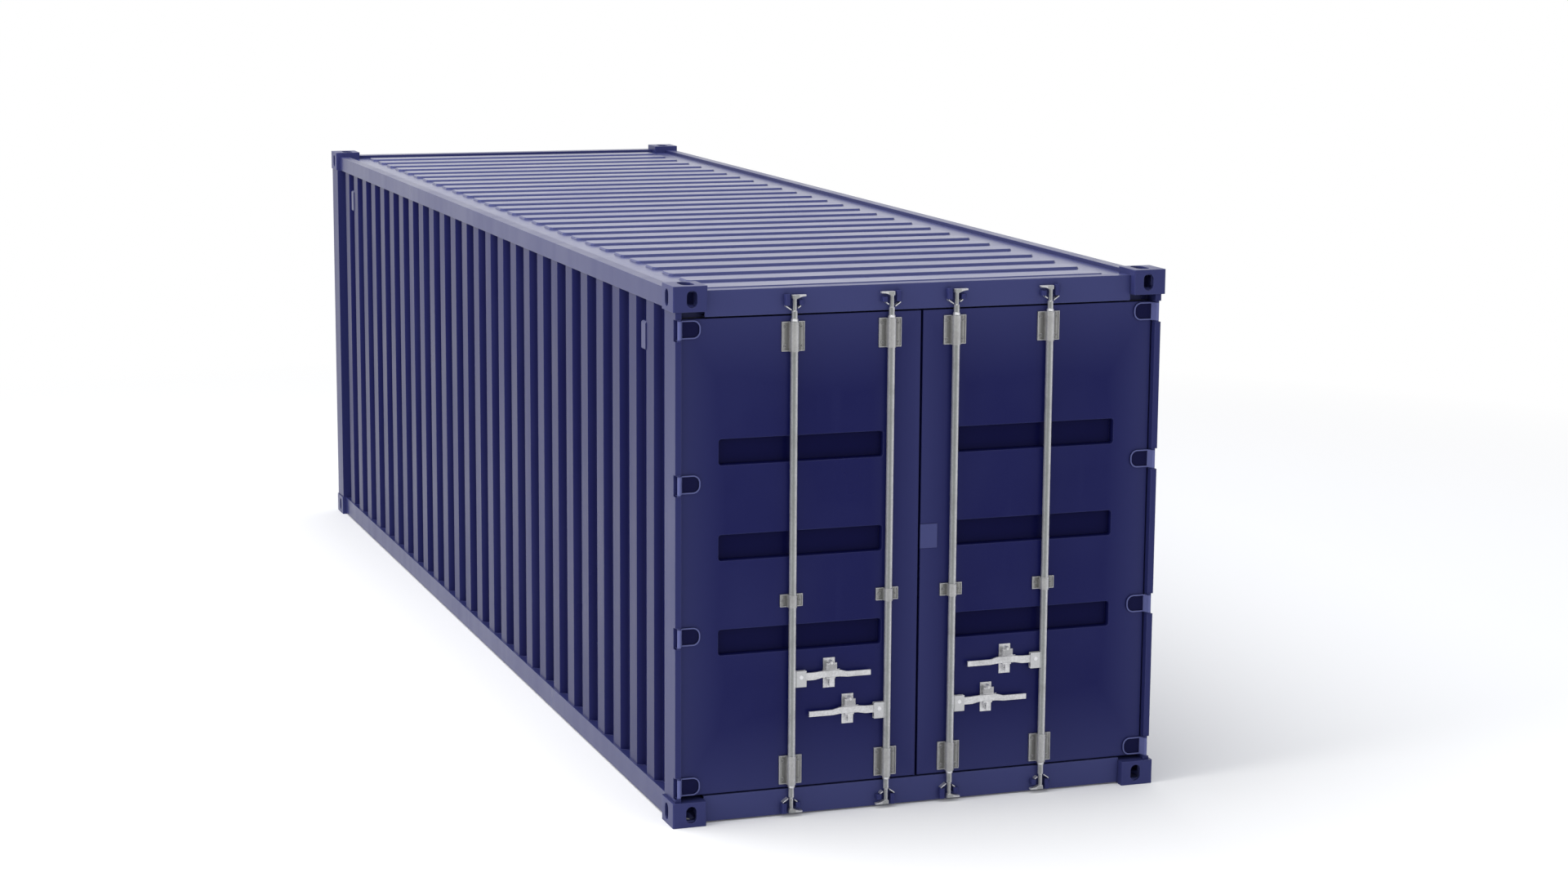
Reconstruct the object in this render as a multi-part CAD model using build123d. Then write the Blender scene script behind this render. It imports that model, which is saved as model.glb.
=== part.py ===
from build123d import *
import os
from math import atan2, cos, radians, sin

# Steel dry-freight container. The doors face -Y, the blind end faces +Y, Z is up.
# The origin is on the ground, under the middle of the container.
# Sizes are millimetres. A "depth" is measured inwards from the nearest end of the castings.

# Envelope
LENGTH = 7925.0
WIDTH = 2438.0
HEIGHT = 2515.0

# Corner castings
CASTING_WIDTH = 162.0
CASTING_LENGTH = 178.0
CASTING_HEIGHT = 118.0
CASTING_LOAD_WALL = 28.0
CASTING_SIDE_WALL = 16.0
CASTING_CORNER_RADIUS = 6.0
LOAD_SLOT_LENGTH = 124.0
LOAD_SLOT_WIDTH = 63.5
LASH_SLOT_HEIGHT = 79.5
LASH_SLOT_WIDTH = 51.0
SLOT_FROM_END = 101.5
SLOT_FROM_SIDE = 89.0

# Frame members
RAIL_INSET = 24.0
RAIL_WIDTH = 60.0
RAIL_WALL = 4.0
BOTTOM_RAIL_WIDTH = 48.0
ROOF_FRAME_DROP = 28.0
BASE_LIFT = 8.0
CLEAR_INSET = 76.0
POST_OUTER_INSET = 14.0
POST_FRONT_DEPTH = 14.0
POST_FLANGE_WIDTH = 29.0
POST_WALL = 6.0
BLIND_POST_INSET = 6.0
END_RAIL_DEPTH = 15.0
END_RAIL_THICKNESS = 90.0
END_KERB_HEIGHT = 37.0

# Door opening
FACE_DEPTH = 45.0
HEADER_THICKNESS = 69.0
HEADER_WALL = 4.0
HEADER_BELOW_CASTING = 30.0
DOOR_STOP_THICKNESS = 6.0
DOOR_STOP_LAP = 30.0
SILL_TOP = 130.0
SILL_WALL = 5.0
SILL_THICKNESS = 105.0

# Doors
DOOR_FACE_DEPTH = 48.0
DOOR_THICKNESS = 50.0
DOOR_SHEET = 2.0
DOOR_SIDE_GAP = 7.0
DOOR_END_GAP = 8.0
DOOR_SEAM = 12.0
STILE_WIDTH = 100.0
DOOR_RAIL_HEIGHT = 150.0
DOOR_TUBE_WALL = 4.0
SEAL_THICKNESS = 5.0
SEAL_WIDTH = 45.0
SEAL_LIP = 2.0
SEAL_CLEARANCE = 5.0
POCKET_HEIGHT = 122.0
POCKET_DEPTH = 32.0
POCKET_FROM_SEAM = 179.0
POCKET_FROM_HINGE = 181.0
POCKET_PITCH = 445.0
POCKET_MID_HEIGHT = 1298.0
POCKET_COUNT = 3
POCKET_DRAFT = 12.0
POCKET_RADIUS = 14.0
LAP_PLATE_HEIGHT = 115.0
LAP_PLATE_WIDTH = 86.0
LAP_PLATE_THICKNESS = 4.0
LAP_PLATE_EDGE = 4.0
LAP_PLATE_MID_HEIGHT = 1292.0

# Hinges
HINGE_PIN_INSET = 33.0
HINGE_PIN_DEPTH = 14.5
HINGE_PIN_RADIUS = 5.5
HINGE_PIN_CLEARANCE = 0.1
KNUCKLE_RADIUS = 8.5
HINGE_BLADE_HEIGHT = 85.0
HINGE_BLADE_LENGTH = 91.0
HINGE_BLADE_THICKNESS = 10.5
HINGE_END_RADIUS = 36.0
HINGE_RIM = 6.0
HINGE_DISH = 6.5
HINGE_FROM_DOOR_END = 46.0
HINGE_COUNT = 4
HINGE_LUG_HEIGHT = 6.5
HINGE_LUG_GAP = 1.0
HINGE_NOTCH_DEPTH = 27.0
HINGE_SEAT_EDGE = 0.5
HINGE_ROOT_ANGLE = 45.0
HINGE_ROOT_WRAP = 15.0

# Corrugated side walls
SHEET = 2.0
SIDE_CREST_INSET = 32.0
SIDE_CORRUGATION_DEPTH = 36.0
SIDE_CREST = 118.0
SIDE_SLOPE = 24.0
SIDE_PITCH = 283.0
SIDE_FIRST_CREST = 405.0
SIDE_LAST_MARGIN = 300.0

# Corrugated end wall
END_CREST_DEPTH = 20.0
END_CORRUGATION_DEPTH = 45.0
END_CREST = 110.0
END_SLOPE = 18.0
END_PITCH = 250.0
END_MARGIN = 200.0

# Roof
ROOF_DROP = 47.0
RIB_PITCH = 272.0
RIB_MARGIN = 280.0
RIB_WIDTH = 150.0
RIB_END_MARGIN = 135.0
RIB_HEIGHT = 11.0
RIB_CORNER = 26.0
RIB_TAPER = 25.0

# Floor
FLOOR_TOP = 165.0
BOARD_THICKNESS = 28.0
BOARD_GAP = 4.0
BOARD_ROWS = 4
FLOOR_WALL_GAP = 9.0
FLOOR_END_GAP = 2.0
MEMBER_HEIGHT = 122.0
MEMBER_FLANGE = 45.0
MEMBER_WALL = 4.0
MEMBER_PITCH = 305.0
MEMBER_END_MARGIN = 60.0

# Side vents
VENT_HEIGHT = 137.0
VENT_WIDTH = 68.0
VENT_PROUD = 4.0
VENT_WALL = 3.0
VENT_CHAMFER = 8.0
VENT_SLOPE_GAP = 1.0
VENT_BELOW_RAIL = 176.0

# Locking rods
ROD_RADIUS = 17.0
ROD_AXIS_DEPTH = 22.0
INNER_ROD_X = 161.0
UPPER_BRACKET_FROM_DOOR_TOP = 95.0
LOWER_BRACKET_FROM_DOOR_FOOT = 85.0
BRACKET_HEIGHT = 136.0
BRACKET_WIDTH = 110.0
BRACKET_PLATE = 4.0
BRACKET_RUNNING_GAP = 1.0
BRACKET_ARCH_WALL = 3.0
BRACKET_LIP = 7.0
BRACKET_LIP_WALL = 3.0
GUIDE_MID_HEIGHT = 1032.0
GUIDE_HEIGHT = 59.0
COLLAR_RADIUS = 16.5
COLLAR_HEIGHT = 7.0
COLLAR_GAP = 5.0
NECK_RADIUS = 13.0
THROAT_RADIUS = 9.0

# Cams and keepers
CAM_THICKNESS = 12.0
CAM_ARM = 54.0
CAM_TIP = 7.0
CAM_ROOT = 18.0
CAM_BELLY_X = 30.0
CAM_BELLY = 9.0
CAM_STUB = 13.0
CAM_HALF_DEPTH = 12.0
CAM_FROM_HEADER_TOP = 31.0
CAM_FROM_FLOOR = 20.0
KEEPER_CLEARANCE = 5.0
KEEPER_FROM_AXIS = 22.0
KEEPER_WIDTH = 24.0
KEEPER_HEIGHT = 24.0
TALL_KEEPER_HEIGHT = 50.0
KEEPER_DEPTH = 32.0
KEEPER_CHAMFER = 5.0
GUIDE_WING_RISE = 18.0
GUIDE_WING_THICKNESS = 5.0
GUIDE_WING_DEPTH = 28.0
GUIDE_WING_GAP = 1.0
GUIDE_WING_FROM_AXIS = 16.0
GUIDE_WING_LONG = 26.0
GUIDE_WING_SHORT = 13.0

# Handles
INNER_HANDLE_Z = 487.0
OUTER_HANDLE_Z = 667.0
HUB_REACH = 68.0
HUB_HEIGHT = 76.0
HUB_PIN_REACH = 42.0
HUB_BELOW_PIN = 46.0
HUB_PLATE = 5.0
HUB_PIN_RADIUS = 7.0
HUB_PIN_HEAD_RADIUS = 10.0
HUB_PIN_HEAD = 3.0
HUB_PIN_HEAD_DRAFT = 25.0
HUB_PIN_CLEARANCE = 0.1
HUB_SIDE_GAP = 0.5
HANDLE_THICKNESS = 10.0
HANDLE_REACH = 389.0
HANDLE_TIP_TO_ROD = 85.0
HANDLE_TAIL = 14.0
HANDLE_NECK_HEIGHT = 35.0
HANDLE_WAIST_HEIGHT = 31.0
HANDLE_WAIST_RISE = 5.5
HANDLE_GRIP_HEIGHT = 25.0
HANDLE_GRIP_DROP = 1.5
HANDLE_NECK_END = 110.0
HANDLE_WAIST_START = 148.0
HANDLE_WAIST_END = 236.0
HANDLE_GRIP_START = 272.0
HANDLE_DIMPLE_LENGTH = 40.0
HANDLE_DIMPLE_HEIGHT = 18.0
HANDLE_DIMPLE_DEPTH = 2.0

# Handle retainers and catches
RETAINER_REACH = 190.0
RETAINER_WIDTH = 57.0
RETAINER_PLATE = 5.0
RETAINER_ABOVE = 77.0
RETAINER_BELOW = 65.0
SEATING_GAP = 0.3
SHELF_THICKNESS = 6.0
SHELF_WIDTH = 44.0
SHELF_OVERHANG = 2.0
SEAL_EYE_WIDTH = 14.0
SEAL_EYE_HEIGHT = 36.0
SEAL_EYE_HOLE = 5.0
CATCH_BOLT_RADIUS = 6.0
CATCH_BOLT_ABOVE = 60.0
CATCH_BORE_CLEARANCE = 0.1
CATCH_BOSS_RADIUS = 11.0
CATCH_THICKNESS = 10.0
CATCH_HALF_WIDTH = 27.0
CATCH_CLEARANCE = 5.0
CATCH_CHAMFER = 6.0
CATCH_LIP_HALF_LENGTH = 42.0
CATCH_LIP_THICKNESS = 3.0

FRONT = -LENGTH / 2
BACK = LENGTH / 2
HALF_WIDTH = WIDTH / 2
CASTING_UNDERSIDE = HEIGHT - CASTING_HEIGHT
FRAME_TOP = HEIGHT - ROOF_FRAME_DROP
ROOF_TOP = HEIGHT - ROOF_DROP
CLEAR_HALF_WIDTH = HALF_WIDTH - CLEAR_INSET
RAIL_OUTER = HALF_WIDTH - RAIL_INSET
RAIL_INNER = RAIL_OUTER - RAIL_WIDTH
BETWEEN_CASTINGS = HALF_WIDTH - CASTING_WIDTH
POST_OUTER = HALF_WIDTH - POST_OUTER_INSET
SIDE_CREST_X = HALF_WIDTH - SIDE_CREST_INSET
SIDE_TROUGH_X = SIDE_CREST_X - SIDE_CORRUGATION_DEPTH
STOP_DEPTH = DOOR_FACE_DEPTH + DOOR_THICKNESS + SEAL_THICKNESS + SEAL_CLEARANCE
HEADER_BOTTOM = CASTING_UNDERSIDE - HEADER_BELOW_CASTING
DOOR_TOP = HEADER_BOTTOM - DOOR_END_GAP
DOOR_BOTTOM = SILL_TOP + DOOR_END_GAP
DOOR_OUTER = POST_OUTER - POST_FLANGE_WIDTH - DOOR_SIDE_GAP
DOOR_INNER = DOOR_SEAM / 2
OUTER_ROD_X = INNER_ROD_X + HANDLE_REACH + HANDLE_TIP_TO_ROD
ROD_PLACES = ((-OUTER_ROD_X, 1), (-INNER_ROD_X, -1), (INNER_ROD_X, 1), (OUTER_ROD_X, -1))
UPPER_CAM_TOP = FRAME_TOP - CAM_FROM_HEADER_TOP
UPPER_KEEPER_FOOT = UPPER_CAM_TOP - CAM_ROOT - KEEPER_CLEARANCE - KEEPER_HEIGHT
LOWER_KEEPER_FOOT = CAM_FROM_FLOOR + CAM_ROOT + KEEPER_CLEARANCE
HINGE_NOTCH_HEIGHT = HINGE_BLADE_HEIGHT + 2 * (HINGE_LUG_GAP + HINGE_LUG_HEIGHT)
HINGE_PIN_X = HALF_WIDTH - HINGE_PIN_INSET
HINGE_LOWEST = DOOR_BOTTOM + HINGE_FROM_DOOR_END
HINGE_SPAN = DOOR_TOP - HINGE_FROM_DOOR_END - HINGE_LOWEST
HINGE_HEIGHTS = [HINGE_LOWEST + i * HINGE_SPAN / (HINGE_COUNT - 1) for i in range(HINGE_COUNT)]
CATCH_FRONT_DEPTH = ROD_AXIS_DEPTH - HANDLE_THICKNESS / 2 - CATCH_CLEARANCE - CATCH_THICKNESS


def block(x0, x1, y0, y1, z0, z1):
    """A box between two opposite corners."""
    size = (abs(x1 - x0), abs(y1 - y0), abs(z1 - z0))
    return Pos((x0 + x1) / 2, (y0 + y1) / 2, (z0 + z1) / 2) * Box(*size)


def door_depth(depth):
    """The Y of a depth at the door end."""
    return FRONT + depth


def blind_depth(depth):
    """The Y of a depth at the blind end."""
    return BACK - depth


def prism_z(points, z0, z1):
    """A profile in X and Y carried up from z0 to z1."""
    outline = Plane.XY.offset(z0) * make_face(Polyline(*points, close=True))
    return extrude(outline, z1 - z0)


def prism_x(points, x0, x1):
    """A profile in Y and Z carried across from x0 to x1."""
    outline = Plane.YZ.offset(x0) * make_face(Polyline(*points, close=True))
    return extrude(outline, x1 - x0)


def mitred(points, thickness):
    """The line that follows an open path at a constant distance, with mitred corners."""
    shifted = []
    for i, (x, y) in enumerate(points):
        before = points[max(i - 1, 0)]
        after = points[min(i + 1, len(points) - 1)]
        first = atan2(y - before[1], x - before[0]) if i else None
        last = atan2(after[1] - y, after[0] - x) if i < len(points) - 1 else first
        first = last if first is None else first
        middle = (first + last) / 2
        reach = thickness / cos((last - first) / 2)
        shifted.append((x + sin(middle) * reach, y - cos(middle) * reach))
    return shifted


def how_many(span, pitch):
    """How many copies at a pitch fit in the span from the first to the last."""
    return 1 + int(span / pitch)


def corrugation(start, end, first_crest, crest, slope, pitch, count, depth):
    """The path of a corrugated sheet: crests stand out by depth from the troughs."""
    path = [(start, 0.0)]
    for i in range(count):
        at = first_crest + i * pitch
        path += [(at - slope, 0.0), (at, depth), (at + crest, depth), (at + crest + slope, 0.0)]
    return path + [(end, 0.0)]


def mirrored(shape):
    """The same shape on the other side of the container."""
    return mirror(shape, about=Plane.YZ)


def corner_casting():
    """The upper left casting at the door end, hollow, with its three slots."""
    x0 = -HALF_WIDTH
    y0 = FRONT
    z1 = HEIGHT
    z0 = CASTING_UNDERSIDE
    body = block(x0, x0 + CASTING_WIDTH, y0, y0 + CASTING_LENGTH, z0, z1)
    body = fillet(body.edges().filter_by(Axis.Z), CASTING_CORNER_RADIUS)
    inner_x = x0 + CASTING_WIDTH - CASTING_SIDE_WALL
    inner_y = y0 + CASTING_LENGTH - CASTING_SIDE_WALL
    cavity = block(
        x0 + CASTING_SIDE_WALL,
        inner_x,
        y0 + CASTING_SIDE_WALL,
        inner_y,
        z0 + CASTING_SIDE_WALL,
        z1 - CASTING_LOAD_WALL,
    )
    centre_x = x0 + SLOT_FROM_SIDE
    centre_y = y0 + SLOT_FROM_END
    centre_z = z1 - CASTING_HEIGHT / 2
    past = 1.0
    load_slot = SlotOverall(LOAD_SLOT_LENGTH, LOAD_SLOT_WIDTH, rotation=90)
    load = Pos(centre_x, centre_y, z1 - CASTING_LOAD_WALL - past) * extrude(
        load_slot, CASTING_LOAD_WALL + 2 * past
    )
    lash = SlotOverall(LASH_SLOT_HEIGHT, LASH_SLOT_WIDTH, rotation=90)
    end_plane = Plane((centre_x, y0 - past, centre_z), x_dir=(1, 0, 0), z_dir=(0, 1, 0))
    side_plane = Plane((x0 - past, centre_y, centre_z), x_dir=(0, 1, 0), z_dir=(1, 0, 0))
    end_slot = extrude(end_plane * lash, CASTING_SIDE_WALL + 2 * past)
    side_slot = extrude(side_plane * lash, CASTING_SIDE_WALL + 2 * past)
    return body - cavity - load - end_slot - side_slot


def castings_at_one_end():
    """The four castings of the door end."""
    top_left = corner_casting()
    middle = Plane.XY.offset(HEIGHT / 2)
    bottom_left = mirror(top_left, about=middle)
    left = [top_left, bottom_left]
    return left + [mirrored(piece) for piece in left]


def door_post_left():
    """Closed door post with a narrow front flange, notched for the hinges it carries."""
    outer = -POST_OUTER
    front = door_depth(POST_FRONT_DEPTH)
    rear = door_depth(CASTING_LENGTH)
    throat = outer + POST_FLANGE_WIDTH
    step = door_depth(STOP_DEPTH)
    inner = -CLEAR_HALF_WIDTH
    skin = [(outer, front), (throat, front), (throat, step), (inner, step), (inner, rear), (outer, rear)]
    w = POST_WALL
    hollow = [
        (outer + w, front + w),
        (throat - w, front + w),
        (throat - w, step + w),
        (inner - w, step + w),
        (inner - w, rear - w),
        (outer + w, rear - w),
    ]
    post = prism_z(skin, CASTING_HEIGHT, CASTING_UNDERSIDE)
    post -= prism_z(hollow, CASTING_HEIGHT, CASTING_UNDERSIDE)
    half = HINGE_NOTCH_HEIGHT / 2
    floor = front + HINGE_NOTCH_DEPTH
    for z in HINGE_HEIGHTS:
        post -= block(outer, throat, front, floor, z - half, z + half)
        post += block(outer + w, throat - w, floor, floor + w, z - half, z + half)
        post += hinge_pin_left(z, floor)
    return post


def hinge_pin_left(z, notch_floor):
    """A pin between two lugs that stand at the head and the foot of a notch."""
    axis_x = -HINGE_PIN_X
    axis_y = door_depth(HINGE_PIN_DEPTH)
    half = HINGE_NOTCH_HEIGHT / 2
    pin = Pos(axis_x, axis_y, z) * Cylinder(HINGE_PIN_RADIUS, HINGE_NOTCH_HEIGHT)
    for low in (z - half, z + half - HINGE_LUG_HEIGHT):
        middle = low + HINGE_LUG_HEIGHT / 2
        nose = Pos(axis_x, axis_y, middle) * Cylinder(KNUCKLE_RADIUS, HINGE_LUG_HEIGHT)
        tail = block(
            axis_x - KNUCKLE_RADIUS,
            axis_x + KNUCKLE_RADIUS,
            axis_y,
            notch_floor,
            low,
            low + HINGE_LUG_HEIGHT,
        )
        pin += nose + tail
    return pin


def hinge_blade_left(z):
    """A forged blade: a knuckle, a root that clears the post and a dished D on the door."""
    axis_x = -HINGE_PIN_X
    axis_y = door_depth(HINGE_PIN_DEPTH)
    seat = door_depth(DOOR_FACE_DEPTH)
    front = seat - HINGE_BLADE_THICKNESS
    edge_x = -DOOR_OUTER + HINGE_SEAT_EDGE
    end_x = edge_x + HINGE_BLADE_LENGTH
    low = z - HINGE_BLADE_HEIGHT / 2
    high = z + HINGE_BLADE_HEIGHT / 2
    wrap = radians(HINGE_ROOT_WRAP)
    lean = radians(HINGE_ROOT_ANGLE)
    inner_edge = front + HINGE_BLADE_THICKNESS - HINGE_DISH - HINGE_RIM / 4
    root = [
        (axis_x - KNUCKLE_RADIUS * sin(wrap), axis_y + KNUCKLE_RADIUS * cos(wrap)),
        (axis_x + KNUCKLE_RADIUS * cos(lean), axis_y - KNUCKLE_RADIUS * sin(lean)),
        (edge_x + HINGE_RIM / 2, front),
        (edge_x + HINGE_RIM / 2, seat),
        (edge_x, seat),
        (edge_x, inner_edge),
    ]
    plate_plane = Plane((0, seat, 0), x_dir=(1, 0, 0), z_dir=(0, -1, 0))
    middle = Pos((edge_x + end_x) / 2, z)
    outline = middle * Rectangle(end_x - edge_x, HINGE_BLADE_HEIGHT)
    outline = fillet(outline.vertices().group_by(Axis.X)[-1], HINGE_END_RADIUS)
    plate = extrude(plate_plane * outline, HINGE_BLADE_THICKNESS)
    dish_start = edge_x + HINGE_RIM / 2
    dish_end = end_x - HINGE_RIM
    dish = Pos((dish_start + dish_end) / 2, z) * Rectangle(
        dish_end - dish_start, HINGE_BLADE_HEIGHT - 2 * HINGE_RIM
    )
    dish = fillet(dish.vertices().group_by(Axis.X)[-1], HINGE_END_RADIUS - HINGE_RIM)
    front_plane = Plane((0, front, 0), x_dir=(1, 0, 0), z_dir=(0, -1, 0))
    plate -= extrude(front_plane * dish, -HINGE_DISH)
    knuckle = Pos(axis_x, axis_y, z) * Cylinder(KNUCKLE_RADIUS, HINGE_BLADE_HEIGHT)
    blade = plate + prism_z(root, low, high) + knuckle
    bore = HINGE_PIN_RADIUS + HINGE_PIN_CLEARANCE
    return blade - Pos(axis_x, axis_y, z) * Cylinder(bore, HINGE_BLADE_HEIGHT)


def door_header():
    """Box section over the doors, with a stop plate behind their top edge."""
    front = door_depth(FACE_DEPTH)
    rear = front + HEADER_THICKNESS
    skin = [(front, HEADER_BOTTOM), (rear, HEADER_BOTTOM), (rear, FRAME_TOP), (front, FRAME_TOP)]
    header = prism_x(skin, -BETWEEN_CASTINGS, BETWEEN_CASTINGS)
    w = HEADER_WALL
    header -= block(
        -BETWEEN_CASTINGS, BETWEEN_CASTINGS, front + w, rear - w, HEADER_BOTTOM + w, FRAME_TOP - w
    )
    stop = door_depth(STOP_DEPTH)
    low = DOOR_TOP - DOOR_STOP_LAP
    plate = block(
        -CLEAR_HALF_WIDTH, CLEAR_HALF_WIDTH, stop, stop + DOOR_STOP_THICKNESS, low, CASTING_UNDERSIDE
    )
    return header + plate


def door_sill():
    """Box section under the doors."""
    front = door_depth(FACE_DEPTH)
    rear = front + SILL_THICKNESS
    w = SILL_WALL
    sill = block(-BETWEEN_CASTINGS, BETWEEN_CASTINGS, front, rear, BASE_LIFT, SILL_TOP)
    return sill - block(
        -BETWEEN_CASTINGS, BETWEEN_CASTINGS, front + w, rear - w, BASE_LIFT + w, SILL_TOP - w
    )


def door_threshold():
    """The raised step behind the doors' foot: it crosses the sill and ends on the castings."""
    near = door_depth(STOP_DEPTH)
    far = door_depth(FACE_DEPTH + SILL_THICKNESS)
    w = SILL_WALL
    step = block(-CLEAR_HALF_WIDTH, CLEAR_HALF_WIDTH, near, far, SILL_TOP, FLOOR_TOP)
    step -= block(-CLEAR_HALF_WIDTH, CLEAR_HALF_WIDTH, near + w, far - w, SILL_TOP, FLOOR_TOP - w)
    for side in (-1, 1):
        step += block(
            side * BETWEEN_CASTINGS, side * CLEAR_HALF_WIDTH, near, far, CASTING_HEIGHT, SILL_TOP
        )
    return step


def side_rail_left(bottom, top, width):
    """A rectangular tube between the castings of one side."""
    y0 = door_depth(CASTING_LENGTH)
    y1 = blind_depth(CASTING_LENGTH)
    x0 = -RAIL_OUTER
    w = RAIL_WALL
    tube = block(x0, x0 + width, y0, y1, bottom, top)
    return tube - block(x0 + w, x0 + width - w, y0, y1, bottom + w, top - w)


def end_rail(bottom, top):
    """A rectangular tube between the castings of the blind end."""
    y0 = blind_depth(END_RAIL_DEPTH + END_RAIL_THICKNESS)
    y1 = blind_depth(END_RAIL_DEPTH)
    w = RAIL_WALL
    tube = block(-BETWEEN_CASTINGS, BETWEEN_CASTINGS, y0, y1, bottom, top)
    return tube - block(-BETWEEN_CASTINGS, BETWEEN_CASTINGS, y0 + w, y1 - w, bottom + w, top - w)


def bottom_end_rail():
    """The blind end's lower tube with the kerb that the end wall stands on."""
    y0 = blind_depth(END_RAIL_DEPTH + END_RAIL_THICKNESS)
    y1 = blind_depth(END_RAIL_DEPTH)
    kerb_top = CASTING_HEIGHT + END_KERB_HEIGHT
    kerb = block(-CLEAR_HALF_WIDTH, CLEAR_HALF_WIDTH, y0, y1, CASTING_HEIGHT, kerb_top)
    w = RAIL_WALL
    kerb -= block(-CLEAR_HALF_WIDTH, CLEAR_HALF_WIDTH, y0 + w, y1 - w, CASTING_HEIGHT, kerb_top - w)
    return end_rail(BASE_LIFT, CASTING_HEIGHT) + kerb


def blind_post_left():
    """Closed corner post at the blind end."""
    outer = -(HALF_WIDTH - BLIND_POST_INSET)
    inner = -CLEAR_HALF_WIDTH
    y0 = blind_depth(CASTING_LENGTH)
    y1 = blind_depth(BLIND_POST_INSET)
    w = POST_WALL
    post = block(outer, inner, y0, y1, CASTING_HEIGHT, CASTING_UNDERSIDE)
    return post - block(outer + w, inner - w, y0 + w, y1 - w, CASTING_HEIGHT, CASTING_UNDERSIDE)


def side_crest_starts():
    """The depth at which each crest of a side wall starts."""
    count = how_many(LENGTH - SIDE_FIRST_CREST - SIDE_CREST - SIDE_LAST_MARGIN, SIDE_PITCH)
    return [SIDE_FIRST_CREST + i * SIDE_PITCH for i in range(count)]


def side_wall_left():
    """Vertical corrugations in thin sheet, standing on the bottom rail under the top rail."""
    path = corrugation(
        CASTING_LENGTH,
        LENGTH - CASTING_LENGTH,
        SIDE_FIRST_CREST,
        SIDE_CREST,
        SIDE_SLOPE,
        SIDE_PITCH,
        len(side_crest_starts()),
        SIDE_CORRUGATION_DEPTH,
    )
    inside = mitred(path, SHEET)
    outline = [(-SIDE_TROUGH_X - out, door_depth(along)) for along, out in path + inside[::-1]]
    return prism_z(outline, CASTING_HEIGHT, CASTING_UNDERSIDE)


def end_wall():
    """Deeper corrugations across the blind end."""
    trough = END_CREST_DEPTH + END_CORRUGATION_DEPTH
    count = how_many(2 * (CLEAR_HALF_WIDTH - END_MARGIN) - END_CREST, END_PITCH)
    span = (count - 1) * END_PITCH + END_CREST
    path = corrugation(
        -CLEAR_HALF_WIDTH,
        CLEAR_HALF_WIDTH,
        -span / 2,
        END_CREST,
        END_SLOPE,
        END_PITCH,
        count,
        END_CORRUGATION_DEPTH,
    )
    inside = mitred(path, SHEET)
    outline = [(along, blind_depth(trough - out)) for along, out in path + inside[::-1]]
    return prism_z(outline, CASTING_HEIGHT + END_KERB_HEIGHT, CASTING_UNDERSIDE)


def roof():
    """Die-stamped sheet: flat margins and cross ribs that stop short of the rails."""
    y0 = door_depth(FACE_DEPTH + HEADER_THICKNESS)
    y1 = blind_depth(END_RAIL_DEPTH + END_RAIL_THICKNESS)
    castings = (door_depth(CASTING_LENGTH), blind_depth(CASTING_LENGTH))
    low = ROOF_TOP - SHEET
    sheet = block(-BETWEEN_CASTINGS, BETWEEN_CASTINGS, y0, y1, low, ROOF_TOP)
    sheet += block(-RAIL_INNER, RAIL_INNER, castings[0], castings[1], low, ROOF_TOP)
    count = how_many(LENGTH - 2 * RIB_MARGIN, RIB_PITCH)
    first = -(count - 1) * RIB_PITCH / 2
    half = RAIL_INNER - RIB_END_MARGIN
    outer_shape = RectangleRounded(2 * half, RIB_WIDTH, RIB_CORNER)
    inner_shape = RectangleRounded(2 * (half - SHEET), RIB_WIDTH - 2 * SHEET, RIB_CORNER - SHEET)
    rib = extrude(outer_shape, RIB_HEIGHT, taper=RIB_TAPER)
    throat = extrude(inner_shape, RIB_HEIGHT, taper=RIB_TAPER)
    ribs = [Pos(0, first + i * RIB_PITCH, ROOF_TOP) * rib for i in range(count)]
    throats = [Pos(0, first + i * RIB_PITCH, low) * throat for i in range(count)]
    return sheet + ribs - throats


def floor_boards():
    """Two rows of plywood boards screwed down on the cross members."""
    y0 = door_depth(FACE_DEPTH + SILL_THICKNESS) + FLOOR_END_GAP
    y1 = blind_depth(END_RAIL_DEPTH + END_RAIL_THICKNESS) - FLOOR_END_GAP
    step = (y1 - y0 + BOARD_GAP) / BOARD_ROWS
    boards = []
    for i in range(BOARD_ROWS):
        near = y0 + i * step
        far = near + step - BOARD_GAP
        for side in (-1, 1):
            board = block(
                side * BOARD_GAP / 2,
                side * (SIDE_TROUGH_X - SHEET - FLOOR_WALL_GAP),
                near,
                far,
                FLOOR_TOP - BOARD_THICKNESS,
                FLOOR_TOP,
            )
            boards.append(board)
    return boards


def cross_members():
    """Channel sections from rail to rail under the floor."""
    reach = RAIL_OUTER - BOTTOM_RAIL_WIDTH
    top = FLOOR_TOP - BOARD_THICKNESS
    low = top - MEMBER_HEIGHT
    first = door_depth(CASTING_LENGTH) + MEMBER_END_MARGIN
    last = blind_depth(CASTING_LENGTH) - MEMBER_END_MARGIN
    w = MEMBER_WALL
    count = how_many(last - first, MEMBER_PITCH)
    members = []
    for i in range(count):
        y = first + i * (last - first) / (count - 1)
        profile = [
            (y, low),
            (y + MEMBER_FLANGE, low),
            (y + MEMBER_FLANGE, low + w),
            (y + w, low + w),
            (y + w, top - w),
            (y + MEMBER_FLANGE, top - w),
            (y + MEMBER_FLANGE, top),
            (y, top),
        ]
        members.append(prism_x(profile, -reach, reach))
    return members


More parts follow.
